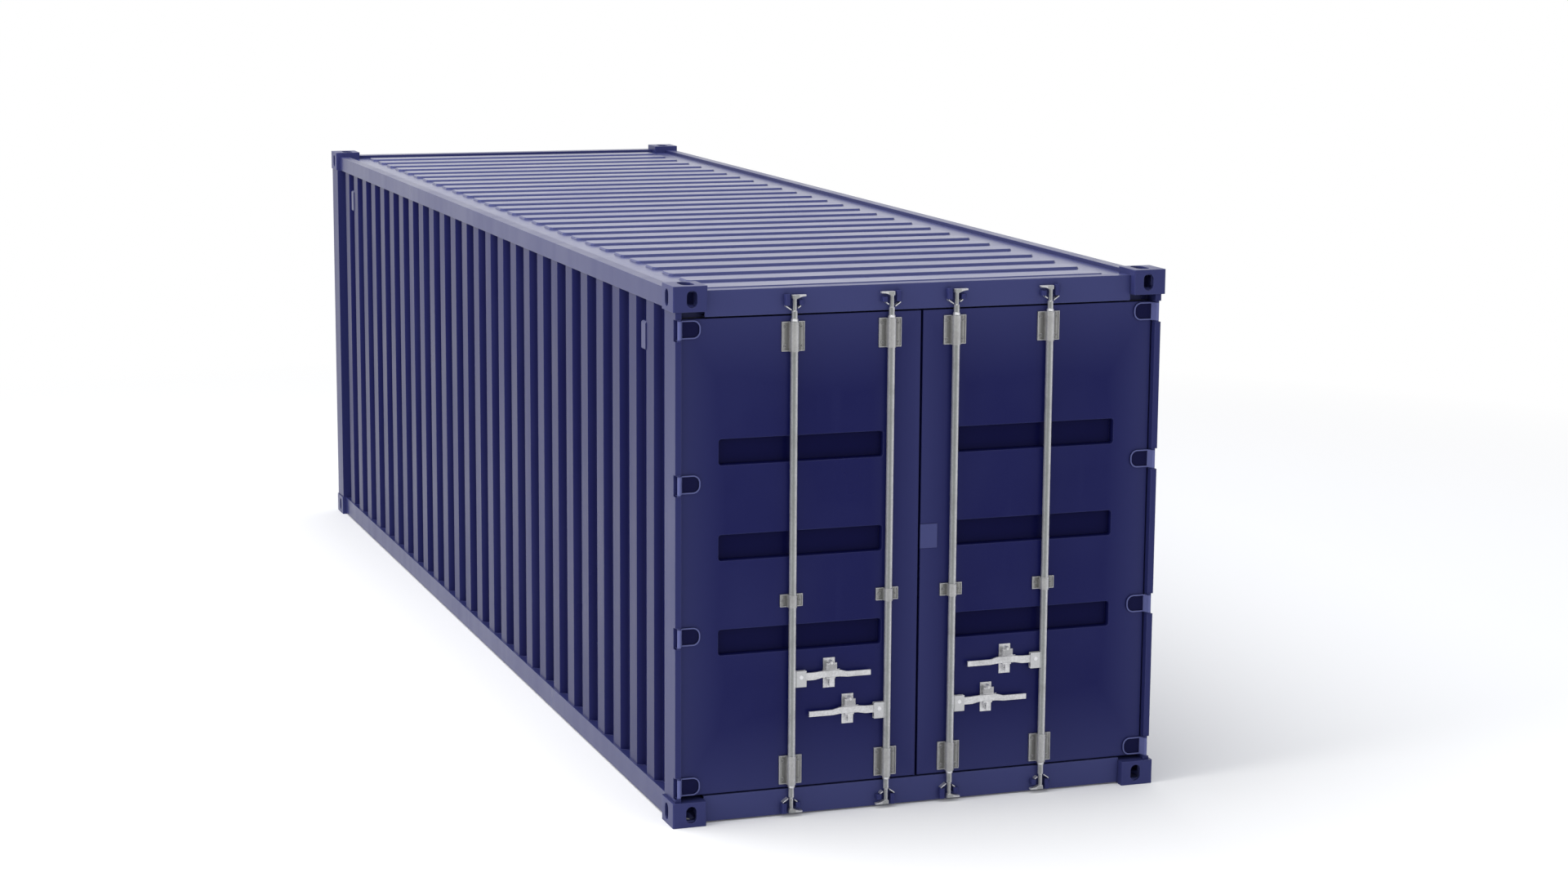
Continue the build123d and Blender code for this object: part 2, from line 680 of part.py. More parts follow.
def side_vents():
    """Small hoods over the air holes, behind the first crest and before the last one."""
    starts = side_crest_starts()
    middle = CASTING_UNDERSIDE - VENT_BELOW_RAIL
    vents = []
    for start in (starts[0], starts[-2]):
        crest_end = start + SIDE_CREST
        outer = vent_outline(crest_end, 0.0)
        inner = vent_outline(crest_end, VENT_WALL)
        low = middle - VENT_HEIGHT / 2
        hood = prism_z(outer, low, low + VENT_HEIGHT)
        head = hood.faces().sort_by(Axis.X)[0].edges().filter_by(Axis.Y)
        hood = chamfer(head, VENT_CHAMFER)
        hood -= prism_z(inner, low, low + VENT_HEIGHT - VENT_CHAMFER)
        vents += [hood, mirrored(hood)]
    return vents


def vent_outline(crest_end, wall):
    """Plan of a hood that leans along the slope of a crest and stands a little proud of it."""
    face = SIDE_CREST_X + VENT_PROUD - wall
    back = SIDE_TROUGH_X
    lean = SIDE_SLOPE / SIDE_CORRUGATION_DEPTH
    gap = VENT_SLOPE_GAP + SHEET + wall
    near_face = crest_end + gap
    near_back = crest_end + gap + (SIDE_CREST_X - back) * lean
    far = crest_end + VENT_WIDTH - wall
    return [
        (-face, door_depth(near_face)),
        (-face, door_depth(far)),
        (-back, door_depth(far)),
        (-back, door_depth(near_back)),
        (-SIDE_CREST_X, door_depth(near_face)),
    ]


def door_frame_left():
    """Rectangular tubes round the back of the door."""
    x0 = -DOOR_OUTER
    x1 = -DOOR_INNER
    front = door_depth(DOOR_FACE_DEPTH + DOOR_SHEET)
    rear = door_depth(DOOR_FACE_DEPTH + DOOR_THICKNESS)
    frame = block(x0, x1, front, rear, DOOR_BOTTOM, DOOR_TOP)
    frame -= block(
        x0 + STILE_WIDTH,
        x1 - STILE_WIDTH,
        front,
        rear,
        DOOR_BOTTOM + DOOR_RAIL_HEIGHT,
        DOOR_TOP - DOOR_RAIL_HEIGHT,
    )
    w = DOOR_TUBE_WALL
    for side in (x0, x1 - STILE_WIDTH):
        frame -= block(
            side + w, side + STILE_WIDTH - w, front + w, rear - w, DOOR_BOTTOM + w, DOOR_TOP - w
        )
    for low in (DOOR_BOTTOM, DOOR_TOP - DOOR_RAIL_HEIGHT):
        frame -= block(
            x0 + STILE_WIDTH + w,
            x1 - STILE_WIDTH - w,
            front + w,
            rear - w,
            low + w,
            low + DOOR_RAIL_HEIGHT - w,
        )
    return frame


def door_panel_left():
    """The pressed outer sheet with three shallow horizontal pockets."""
    front = door_depth(DOOR_FACE_DEPTH)
    panel = block(
        -DOOR_OUTER, -DOOR_INNER, front, front + DOOR_SHEET, DOOR_BOTTOM, DOOR_TOP
    )
    seam_end = DOOR_INNER + POCKET_FROM_SEAM
    hinge_end = DOOR_OUTER - POCKET_FROM_HINGE
    middle = -(seam_end + hinge_end) / 2
    length = hinge_end - seam_end
    mouth = RectangleRounded(length, POCKET_HEIGHT, POCKET_RADIUS)
    skin = RectangleRounded(
        length + 2 * DOOR_SHEET, POCKET_HEIGHT + 2 * DOOR_SHEET, POCKET_RADIUS + DOOR_SHEET
    )
    first = POCKET_MID_HEIGHT - (POCKET_COUNT - 1) * POCKET_PITCH / 2
    for i in range(POCKET_COUNT):
        plane = Plane((middle, front, first + i * POCKET_PITCH), x_dir=(-1, 0, 0), z_dir=(0, 1, 0))
        panel += extrude(plane * skin, POCKET_DEPTH + DOOR_SHEET, taper=POCKET_DRAFT)
        panel -= extrude(plane * mouth, POCKET_DEPTH, taper=POCKET_DRAFT)
    return panel


def door_seal_left():
    """A flat rubber seal round the back edge of the door."""
    y0 = door_depth(DOOR_FACE_DEPTH + DOOR_THICKNESS)
    y1 = y0 + SEAL_THICKNESS
    x0 = -DOOR_OUTER - SEAL_LIP
    x1 = -DOOR_INNER
    z0 = DOOR_BOTTOM - SEAL_LIP
    z1 = DOOR_TOP + SEAL_LIP
    seal = block(x0, x1, y0, y1, z0, z1)
    return seal - block(
        x0 + SEAL_WIDTH, x1 - SEAL_WIDTH, y0, y1, z0 + SEAL_WIDTH, z1 - SEAL_WIDTH
    )


def rod_bracket(x, z, height):
    """A pressed saddle: two rimmed wings on the door and an arch over the rod."""
    seat = door_depth(DOOR_FACE_DEPTH)
    axis = door_depth(ROD_AXIS_DEPTH)
    inner = ROD_RADIUS + BRACKET_RUNNING_GAP
    outer = inner + BRACKET_ARCH_WALL
    half = BRACKET_WIDTH / 2
    low = z - height / 2
    high = z + height / 2
    face = seat - BRACKET_PLATE
    body = block(x - half, x + half, face, seat, low, high)
    body += Pos(x, axis, z) * Cylinder(outer, height)
    body += block(x - outer, x + outer, axis, seat, low, high)
    rim = BRACKET_LIP_WALL
    for side in (-1, 1):
        edge = x + side * half
        body += block(edge - side * rim, edge, face - BRACKET_LIP, face, low, high)
        for foot in (low, high - rim):
            body += block(x + side * outer, edge, face - BRACKET_LIP, face, foot, foot + rim)
    return body - Pos(x, axis, z) * Cylinder(inner, height)


def locking_rod(x, hub_z, arm):
    """A rod with a cam at each end and the clevis of its handle."""
    axis = door_depth(ROD_AXIS_DEPTH)
    head = DOOR_TOP - UPPER_BRACKET_FROM_DOOR_TOP + BRACKET_HEIGHT / 2 + COLLAR_GAP
    foot = DOOR_BOTTOM + LOWER_BRACKET_FROM_DOOR_FOOT - BRACKET_HEIGHT / 2 - COLLAR_GAP
    section = Plane.XZ * make_face(Polyline(*rod_profile(foot, head), close=True))
    rod = Pos(x, axis, 0) * revolve(section, Axis.Z)
    rod += cam(x, UPPER_CAM_TOP, -1, arm)
    rod += cam(x, CAM_FROM_FLOOR, 1, arm)
    return rod + hub(x, hub_z, arm)


def rod_profile(foot, head):
    """Half section of a rod: collars just past its brackets, then a neck and a thin throat."""
    flare = COLLAR_HEIGHT / 2
    guide = GUIDE_WING_GAP + GUIDE_WING_RISE + GUIDE_WING_THICKNESS
    lower_neck = LOWER_KEEPER_FOOT + KEEPER_HEIGHT + guide
    upper_neck = UPPER_KEEPER_FOOT - guide
    return [
        (0, CAM_FROM_FLOOR),
        (THROAT_RADIUS, CAM_FROM_FLOOR),
        (THROAT_RADIUS, lower_neck),
        (NECK_RADIUS, lower_neck + flare),
        (NECK_RADIUS, foot - COLLAR_HEIGHT - flare),
        (COLLAR_RADIUS, foot - COLLAR_HEIGHT),
        (COLLAR_RADIUS, foot - flare),
        (ROD_RADIUS, foot),
        (ROD_RADIUS, head),
        (COLLAR_RADIUS, head + flare),
        (COLLAR_RADIUS, head + COLLAR_HEIGHT),
        (NECK_RADIUS, head + COLLAR_HEIGHT + flare),
        (NECK_RADIUS, upper_neck - flare),
        (THROAT_RADIUS, upper_neck),
        (THROAT_RADIUS, UPPER_CAM_TOP),
        (0, UPPER_CAM_TOP),
    ]


def cam(x, end, inward, arm):
    """A hammer head: a long curved arm on the handle's side and a short stub behind it."""
    axis = door_depth(ROD_AXIS_DEPTH)
    heel = (-CAM_STUB, end)
    back = (-CAM_STUB, end + inward * CAM_THICKNESS)
    root = end + inward * CAM_ROOT
    tip = (CAM_ARM, end)
    nose = (CAM_ARM, end + inward * CAM_TIP)
    belly = (CAM_BELLY_X, end + inward * CAM_BELLY)
    plane = Plane((x, axis, 0), x_dir=(arm, 0, 0), z_dir=(0, -arm, 0))
    outline = [
        Polyline(nose, tip, heel, back, (-THROAT_RADIUS, root), (THROAT_RADIUS, root)),
        ThreePointArc((THROAT_RADIUS, root), belly, nose),
    ]
    face = make_face(outline)
    head = extrude(plane * face, CAM_HALF_DEPTH, both=True)
    ends = head.edges().filter_by(Axis.Z).group_by(Axis.X)
    return fillet(ends[0] + ends[-1], CAM_STUB / 2)


def hub(x, pin_z, arm):
    """Two plates welded to the rod, with the rivet that carries the handle."""
    axis = door_depth(ROD_AXIS_DEPTH)
    low = pin_z - HUB_BELOW_PIN
    slot = HANDLE_THICKNESS / 2 + HUB_SIDE_GAP
    near_x = x + arm * ROD_RADIUS / 2
    far_x = x + arm * HUB_REACH
    front = block(near_x, far_x, axis - slot - HUB_PLATE, axis - slot, low, low + HUB_HEIGHT)
    rear = block(near_x, far_x, axis + slot, axis + slot + HUB_PLATE, low, low + HUB_HEIGHT)
    pin_x = x + arm * HUB_PIN_REACH
    pin_plane = Plane((pin_x, axis, pin_z), z_dir=(0, -1, 0))
    pin = extrude(pin_plane * Circle(HUB_PIN_RADIUS), slot + HUB_PLATE, both=True)
    head_plane = Plane((pin_x, axis - slot - HUB_PLATE, pin_z), z_dir=(0, -1, 0))
    head_circle = head_plane * Circle(HUB_PIN_HEAD_RADIUS)
    head = extrude(head_circle, HUB_PIN_HEAD, taper=HUB_PIN_HEAD_DRAFT)
    return front + rear + pin + head


def handle(x, pin_z, arm):
    """A flat forged bar: neck in the clevis, raised waist on the shelf, and a lower grip."""
    axis = door_depth(ROD_AXIS_DEPTH)
    start = HUB_PIN_REACH - HANDLE_TAIL
    neck = HANDLE_NECK_HEIGHT / 2
    waist = HANDLE_WAIST_HEIGHT / 2
    rise = HANDLE_WAIST_RISE
    grip = HANDLE_GRIP_HEIGHT / 2
    drop = HANDLE_GRIP_DROP
    crown = [
        (start, neck),
        (HANDLE_NECK_END, neck),
        (HANDLE_WAIST_START, rise + waist),
        (HANDLE_WAIST_END, rise + waist),
        (HANDLE_GRIP_START, grip - drop),
        (HANDLE_REACH, grip - drop),
    ]
    foot = [
        (HANDLE_REACH, -grip - drop),
        (HANDLE_GRIP_START, -grip - drop),
        (HANDLE_WAIST_END, rise - waist),
        (HANDLE_WAIST_START, rise - waist),
        (HANDLE_NECK_END, -neck),
        (start, -neck),
    ]
    plane = Plane((x, axis, pin_z), x_dir=(arm, 0, 0), z_dir=(0, -arm, 0))
    outline = make_face(Polyline(*(crown + foot), close=True))
    bends = outline.vertices().filter_by(lambda v: start + 1 < v.X < HANDLE_REACH - 1)
    outline = fillet(bends, HANDLE_NECK_HEIGHT)
    bar = extrude(plane * outline, HANDLE_THICKNESS / 2, both=True)
    bore = Plane((x + arm * HUB_PIN_REACH, axis, pin_z), z_dir=(0, -1, 0))
    bore_radius = HUB_PIN_RADIUS + HUB_PIN_CLEARANCE
    bar -= extrude(bore * Circle(bore_radius), HANDLE_THICKNESS / 2, both=True)
    dimple_x = x + arm * (HANDLE_WAIST_END + HANDLE_GRIP_START) / 2
    front = axis - HANDLE_THICKNESS / 2
    return bar - block(
        dimple_x - HANDLE_DIMPLE_LENGTH / 2,
        dimple_x + HANDLE_DIMPLE_LENGTH / 2,
        front,
        front + HANDLE_DIMPLE_DEPTH,
        pin_z + (rise - drop - HANDLE_DIMPLE_HEIGHT) / 2,
        pin_z + (rise - drop + HANDLE_DIMPLE_HEIGHT) / 2,
    )


def handle_retainer(x, pin_z, arm):
    """A plate on the door with the catch's bolt, the handle's shelf and a seal eye below it."""
    centre = x + arm * RETAINER_REACH
    seat = door_depth(DOOR_FACE_DEPTH)
    front = seat - RETAINER_PLATE
    half = RETAINER_WIDTH / 2
    low = pin_z - RETAINER_BELOW
    plate = block(centre - half, centre + half, front, seat, low, pin_z + RETAINER_ABOVE)
    shelf_top = pin_z + HANDLE_WAIST_RISE - HANDLE_WAIST_HEIGHT / 2 - SEATING_GAP
    shelf_foot = shelf_top - SHELF_THICKNESS
    shelf_front = door_depth(ROD_AXIS_DEPTH - HANDLE_THICKNESS / 2 - SHELF_OVERHANG)
    shelf_half = SHELF_WIDTH / 2
    shelf = block(centre - shelf_half, centre + shelf_half, shelf_front, front, shelf_foot, shelf_top)
    eye_half = SEAL_EYE_WIDTH / 2
    eye_foot = shelf_foot - SEAL_EYE_HEIGHT
    eye = block(centre - eye_half, centre + eye_half, shelf_front, front, eye_foot, shelf_foot)
    hole_centre = (centre, (shelf_front + front) / 2, (eye_foot + shelf_foot) / 2)
    eye -= extrude(Plane(hole_centre, z_dir=(1, 0, 0)) * Circle(SEAL_EYE_HOLE), eye_half, both=True)
    bolt_plane = Plane((centre, front, pin_z + CATCH_BOLT_ABOVE), z_dir=(0, -1, 0))
    bolt = extrude(bolt_plane * Circle(CATCH_BOLT_RADIUS), front - door_depth(CATCH_FRONT_DEPTH))
    return plate + shelf + eye + bolt


def catch(x, pin_z, arm):
    """A swivelling catch: a boss on the bolt, a bevelled lobe and a lip over the handle."""
    centre = x + arm * RETAINER_REACH
    front = door_depth(CATCH_FRONT_DEPTH)
    back = door_depth(DOOR_FACE_DEPTH - RETAINER_PLATE) - SEATING_GAP
    bolt_z = pin_z + CATCH_BOLT_ABOVE
    boss_plane = Plane((centre, back, bolt_z), z_dir=(0, -1, 0))
    boss = extrude(boss_plane * Circle(CATCH_BOSS_RADIUS), back - front)
    foot = pin_z + HANDLE_WAIST_RISE + HANDLE_WAIST_HEIGHT / 2 + CATCH_CLEARANCE
    half = CATCH_HALF_WIDTH
    lobe = block(centre - half, centre + half, front, front + CATCH_THICKNESS, foot, bolt_z)
    lobe = chamfer(lobe.faces().sort_by(Axis.Y)[0].edges(), CATCH_CHAMFER)
    reach = CATCH_LIP_HALF_LENGTH
    rear = front + CATCH_THICKNESS
    chord = Line((centre - reach, rear), (centre + reach, rear))
    bow = ThreePointArc((centre + reach, rear), (centre, front), (centre - reach, rear))
    lip = extrude(Plane.XY.offset(foot) * make_face([chord, bow]), CATCH_LIP_THICKNESS)
    bore = CATCH_BOLT_RADIUS + CATCH_BORE_CLEARANCE
    return boss + lobe + lip - extrude(boss_plane * Circle(bore), back - front)


def cam_keepers():
    """Pairs of lugs on the header and the sill: a low one under the arm and a tall one beside it."""
    front = door_depth(FACE_DEPTH)
    lower_top = LOWER_KEEPER_FOOT + KEEPER_HEIGHT
    lugs = []
    for x, arm in ROD_PLACES:
        for side, height in ((arm, KEEPER_HEIGHT), (-arm, TALL_KEEPER_HEIGHT)):
            near = x + side * KEEPER_FROM_AXIS
            far = near + side * KEEPER_WIDTH
            upper = (UPPER_KEEPER_FOOT, UPPER_KEEPER_FOOT + height)
            lower = (lower_top - height, lower_top)
            for low, high in (upper, lower):
                lug = block(near, far, front - KEEPER_DEPTH, front, low, high)
                nose = lug.faces().sort_by(Axis.Y)[0].edges().filter_by(Axis.Z)
                lugs.append(chamfer(nose, KEEPER_CHAMFER))
    return lugs


def keeper_guides():
    """Sloping plates beside each neck that lead the cam in between its keepers."""
    front = door_depth(FACE_DEPTH)
    lower_keeper_top = LOWER_KEEPER_FOOT + KEEPER_HEIGHT
    guides = []
    for x, arm in ROD_PLACES:
        for seat, outward in ((UPPER_KEEPER_FOOT, -1), (lower_keeper_top, 1)):
            for side, span in ((-arm, GUIDE_WING_LONG), (arm, GUIDE_WING_SHORT)):
                near = x + side * GUIDE_WING_FROM_AXIS
                tip = seat + outward * GUIDE_WING_GAP
                fall = outward * GUIDE_WING_RISE * span / GUIDE_WING_LONG
                wall = outward * GUIDE_WING_THICKNESS
                points = [
                    (near, tip + fall),
                    (near + side * span, tip),
                    (near + side * span, tip + wall),
                    (near, tip + fall + wall),
                ]
                plane = Plane((0, front, 0), x_dir=(1, 0, 0), z_dir=(0, -1, 0))
                outline = plane * make_face(Polyline(*points, close=True))
                guides.append(extrude(outline, GUIDE_WING_DEPTH))
    return guides


def lap_plate():
    """A plate on the right door over the seam between the doors."""
    seat = door_depth(DOOR_FACE_DEPTH)
    low = LAP_PLATE_MID_HEIGHT - LAP_PLATE_HEIGHT / 2
    return block(
        LAP_PLATE_EDGE,
        LAP_PLATE_EDGE + LAP_PLATE_WIDTH,
        seat - LAP_PLATE_THICKNESS,
        seat,
        low,
        low + LAP_PLATE_HEIGHT,
    )


def solids_of(shape):
    """Every solid of a shape or of a list of shapes."""
    shapes = shape if isinstance(shape, list) else [shape]
    return [solid for piece in shapes for solid in piece.solids()]


def save(name, shape):
    """Writes one node."""
    solids = solids_of(shape)
    body = solids[0] if len(solids) == 1 else Compound(children=solids)
    body.label = name
    export_step(body, f"parts/{name}.step")


def save_pair(name, shape):
    """Writes a node and its mirror image on the right."""
    save(f"{name}_left", shape)
    save(f"{name}_right", [mirrored(solid) for solid in solids_of(shape)])


def save_container():
    """The fixed body."""
    door_end = castings_at_one_end()
    save("corner_castings_door_end", door_end)
    save("corner_castings_blind_end", [mirror(piece, about=Plane.XZ) for piece in door_end])
    save_pair("door_post", door_post_left())
    post = blind_post_left()
    save("blind_end_posts", [post, mirrored(post)])
    save("door_header", door_header())
    save("door_sill", door_sill())
    save("door_threshold", door_threshold())
    save("top_end_rail", end_rail(CASTING_UNDERSIDE, FRAME_TOP))
    save("bottom_end_rail", bottom_end_rail())
    top_rail = side_rail_left(CASTING_UNDERSIDE, FRAME_TOP, RAIL_WIDTH)
    bottom_rail = side_rail_left(BASE_LIFT, CASTING_HEIGHT, BOTTOM_RAIL_WIDTH)
    save("top_side_rails", [top_rail, mirrored(top_rail)])
    save("bottom_side_rails", [bottom_rail, mirrored(bottom_rail)])
    save_pair("side_wall", side_wall_left())
    save("end_wall", end_wall())
    save("roof", roof())
    save("floor_boards", floor_boards())
    save("cross_members", cross_members())
    save("side_vents", side_vents())
    save("cam_keepers", cam_keepers())
    save("keeper_guides", keeper_guides())


def save_doors():
    """Both doors with what is fixed to them."""
    save_pair("door_frame", door_frame_left())
    save_pair("door_panel", door_panel_left())
    save_pair("door_seal", door_seal_left())
    save_pair("door_hinges", [hinge_blade_left(z) for z in HINGE_HEIGHTS])
    brackets = []
    retainers = []
    upper = DOOR_TOP - UPPER_BRACKET_FROM_DOOR_TOP
    lower = DOOR_BOTTOM + LOWER_BRACKET_FROM_DOOR_FOOT
    for (x, arm), pin_z in zip(ROD_PLACES, (OUTER_HANDLE_Z, INNER_HANDLE_Z)):
        brackets.append(rod_bracket(x, upper, BRACKET_HEIGHT))
        brackets.append(rod_bracket(x, lower, BRACKET_HEIGHT))
        brackets.append(rod_bracket(x, GUIDE_MID_HEIGHT, GUIDE_HEIGHT))
        retainers.append(handle_retainer(x, pin_z, arm))
    save_pair("rod_brackets", brackets)
    save_pair("handle_retainers", retainers)
    save("lap_plate", lap_plate())


def save_locking_gear():
    """The four rods with their handles and catches, numbered from the left."""
    heights = (OUTER_HANDLE_Z, INNER_HANDLE_Z, INNER_HANDLE_Z, OUTER_HANDLE_Z)
    for i, ((x, arm), pin_z) in enumerate(zip(ROD_PLACES, heights)):
        number = i + 1
        save(f"locking_rod_{number}", locking_rod(x, pin_z, arm))
        save(f"handle_{number}", handle(x, pin_z, arm))
        save(f"catch_{number}", catch(x, pin_z, arm))


os.makedirs("parts", exist_ok=True)
save_container()
save_doors()
save_locking_gear()
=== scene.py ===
import bpy
from math import pi, radians
from mathutils import Matrix, Vector


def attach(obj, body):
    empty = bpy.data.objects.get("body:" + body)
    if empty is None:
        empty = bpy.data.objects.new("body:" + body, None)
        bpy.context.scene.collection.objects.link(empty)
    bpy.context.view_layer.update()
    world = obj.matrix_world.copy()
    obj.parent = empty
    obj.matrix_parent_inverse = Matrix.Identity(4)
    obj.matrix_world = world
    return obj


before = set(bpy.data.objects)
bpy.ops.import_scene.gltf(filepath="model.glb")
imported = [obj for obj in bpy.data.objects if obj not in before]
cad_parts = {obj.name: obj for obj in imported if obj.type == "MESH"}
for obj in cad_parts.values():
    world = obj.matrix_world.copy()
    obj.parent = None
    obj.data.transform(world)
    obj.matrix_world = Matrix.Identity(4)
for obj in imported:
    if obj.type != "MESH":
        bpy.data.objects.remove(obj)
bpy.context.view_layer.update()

# The studio: a camera above head height and to the left of the doors, a white floor that keeps the
# container's shadow and fades into the white surroundings, a soft overhead light, a large light from
# the left and a weak one in front.
CAMERA_PLACE = (-5.2298, -16.8575, 4.1879)
CAMERA_TURN = -19.395
CAMERA_TILT = 9.952
CAMERA_ROLL = 0.384
CAMERA_LENS = 69.84
CAMERA_SENSOR = 36.0
CAMERA_REACH = 200.0
WHITE = (1, 1, 1, 1)
FLOOR_HALF = 60.0
FLOOR_COLOUR = (0.88, 0.88, 0.89, 1)
FLOOR_ROUGHNESS = 0.9
FLOOR_NEAR = 5.5
FLOOR_FAR = 11.0
FLOOR_GLOW = 0.05
FILL_COLOUR = (0.95, 0.97, 1.0, 1)
FILL_STRENGTH = 0.70
LEFT_COLOUR = (1.0, 0.98, 0.90)


def studio_camera():
    camera = bpy.data.objects.new("camera", bpy.data.cameras.new("camera"))
    bpy.context.scene.collection.objects.link(camera)
    camera.data.sensor_width = CAMERA_SENSOR
    camera.data.lens = CAMERA_LENS
    camera.data.clip_end = CAMERA_REACH
    camera.matrix_world = (
        Matrix.Translation(CAMERA_PLACE)
        @ Matrix.Rotation(radians(CAMERA_TURN), 4, "Z")
        @ Matrix.Rotation(radians(90 - CAMERA_TILT), 4, "X")
        @ Matrix.Rotation(radians(CAMERA_ROLL), 4, "Z")
    )
    bpy.context.scene.camera = camera


def new_material(name):
    """A material, its node tree and its principled shader."""
    material = bpy.data.materials.new(name)
    material.use_nodes = True
    tree = material.node_tree
    return material, tree, tree.nodes["Principled BSDF"]


def object_place(tree):
    """The position on the piece that a texture reads."""
    return tree.nodes.new("ShaderNodeTexCoord").outputs["Object"]


def spread(tree, value, low, high, to_low=0.0, to_high=1.0):
    """A value carried from one range to another, held at both ends."""
    node = tree.nodes.new("ShaderNodeMapRange")
    node.inputs["From Min"].default_value = low
    node.inputs["From Max"].default_value = high
    node.inputs["To Min"].default_value = to_low
    node.inputs["To Max"].default_value = to_high
    tree.links.new(value, node.inputs["Value"])
    return node.outputs["Result"]


def combine(tree, operation, *values):
    """A maths node on sockets or plain numbers."""
    node = tree.nodes.new("ShaderNodeMath")
    node.operation = operation
    for i, value in enumerate(values):
        if isinstance(value, (int, float)):
            node.inputs[i].default_value = value
        else:
            tree.links.new(value, node.inputs[i])
    return node.outputs[0]


def studio_floor():
    mesh = bpy.data.meshes.new("studio_floor")
    corners = [(x * FLOOR_HALF, y * FLOOR_HALF, 0) for x, y in ((-1, -1), (1, -1), (1, 1), (-1, 1))]
    mesh.from_pydata(corners, [], [(0, 1, 2, 3)])
    floor = bpy.data.objects.new("studio_floor", mesh)
    bpy.context.scene.collection.objects.link(floor)
    material, tree, shader = new_material("studio_floor")
    nodes, links = tree.nodes, tree.links
    shader.inputs["Base Color"].default_value = FLOOR_COLOUR
    shader.inputs["Roughness"].default_value = FLOOR_ROUGHNESS
    shader.inputs["Specular IOR Level"].default_value = 0.0
    shader.inputs["Emission Color"].default_value = WHITE
    shader.inputs["Emission Strength"].default_value = FLOOR_GLOW
    far = nodes.new("ShaderNodeVectorMath")
    far.operation = "LENGTH"
    links.new(object_place(tree), far.inputs[0])
    glow = nodes.new("ShaderNodeEmission")
    fade = nodes.new("ShaderNodeMixShader")
    links.new(spread(tree, far.outputs["Value"], FLOOR_NEAR, FLOOR_FAR), fade.inputs["Fac"])
    links.new(shader.outputs[0], fade.inputs[1])
    links.new(glow.outputs[0], fade.inputs[2])
    links.new(fade.outputs[0], nodes["Material Output"].inputs["Surface"])
    mesh.materials.append(material)


def studio_light(name, place, aim, size, power, colour=(1, 1, 1)):
    """A rectangular light at a place in metres, turned to its aim, with a power in watts."""
    lamp = bpy.data.lights.new(name, "AREA")
    lamp.shape = "RECTANGLE"
    lamp.size, lamp.size_y = size
    lamp.energy = power
    lamp.color = colour
    holder = bpy.data.objects.new(name, lamp)
    bpy.context.scene.collection.objects.link(holder)
    holder.location = place
    holder.rotation_euler = (Vector(aim) - Vector(place)).to_track_quat("-Z", "Y").to_euler()
    return holder


def studio_world():
    """White to the eye and in reflections, and a weaker fill on everything else."""
    world = bpy.data.worlds.new("studio")
    bpy.context.scene.world = world
    world.use_nodes = True
    tree = world.node_tree
    nodes, links = tree.nodes, tree.links
    shown = nodes["Background"]
    shown.inputs["Color"].default_value = WHITE
    shown.inputs["Strength"].default_value = 1.0
    fill = nodes.new("ShaderNodeBackground")
    fill.inputs["Color"].default_value = FILL_COLOUR
    fill.inputs["Strength"].default_value = FILL_STRENGTH
    path = nodes.new("ShaderNodeLightPath")
    seen = combine(tree, "MAXIMUM", path.outputs["Is Camera Ray"], path.outputs["Is Glossy Ray"])
    seen = combine(tree, "MAXIMUM", seen, path.outputs["Is Transmission Ray"])
    mix = nodes.new("ShaderNodeMixShader")
    links.new(seen, mix.inputs["Fac"])
    links.new(fill.outputs[0], mix.inputs[1])
    links.new(shown.outputs[0], mix.inputs[2])
    links.new(mix.outputs[0], nodes["World Output"].inputs["Surface"])


bpy.context.scene.view_settings.view_transform = "Standard"
studio_camera()
studio_floor()
studio_world()
studio_light("overhead_light", place=(-4, 0, 13), aim=(0, 0, 0), size=(12, 14), power=1500)
left_light = studio_light(
    "left_light", place=(-14, -5, 7), aim=(0, -1, 1), size=(7, 9), power=850, colour=LEFT_COLOUR
)
left_light.visible_glossy = False
studio_light("front_light", place=(3, -17, 6), aim=(0, -4, 1), size=(8, 5), power=200)

# The paint: one satin coat of violet blue over the whole steel body, sprayed, so it has a faint
# orange peel, broad soft patches, faint upright runs and a fine speckle of dust. Along edges it is
# lighter, partly as wear and partly as painted highlight. Many pieces are painted lighter all over
# as painted light, and recesses get a darker, duller coat as painted shade.
PAINT = (0.006, 0.0075, 0.072, 1)
# The lighter coat stands for worn film and for painted light and highlight; the darkest coat, with less
# shine, is painted shade.
PAINT_THIN_AND_LIT = (0.078, 0.088, 0.230, 1)
PAINT_SHADED = (0.003, 0.003, 0.030, 1)
PAINT_SHINE = 0.11
RECESS_SHINE = 0.02
PATCH_SCALE = 1.3
PATCH_NOISE = (0.40, 0.75)
PATCH_THIN = 0.10
RUN_SCALE = 9.0
RUN_DETAIL = 4.0
RUN_STRETCH = (1.0, 1.0, 0.08)
RUN_NOISE = (0.55, 0.85)
RUN_THIN = 0.07
DUST_SCALE = 260.0
DUST_NOISE = (0.58, 0.80)
DUST_THIN = 0.10
PEEL_SCALE = 110.0
FINE_DETAIL = 2.0
ROUGH_PATCH_NOISE = (0.3, 0.7)
ROUGH_PATCH = (0.26, 0.34)
ROUGH_RUN_NOISE = (0.4, 0.8)
ROUGH_RUN = 0.06
EDGE_SAMPLES = 4
EDGE_TURN = (0.995, 0.80)
GLOSS_ROUGHNESS = 0.18
GLOSS_IOR = 1.2
RELIEF_DEPTH = 0.001


def blend(tree, factor, first, second):
    """A colour between two colours, each a socket or a constant."""
    node = tree.nodes.new("ShaderNodeMix")
    node.data_type = "RGBA"
    tree.links.new(factor, node.inputs["Factor"])
    for name, value in (("A", first), ("B", second)):
        if isinstance(value, tuple):
            node.inputs[name].default_value = value
        else:
            tree.links.new(value, node.inputs[name])
    return node.outputs["Result"]


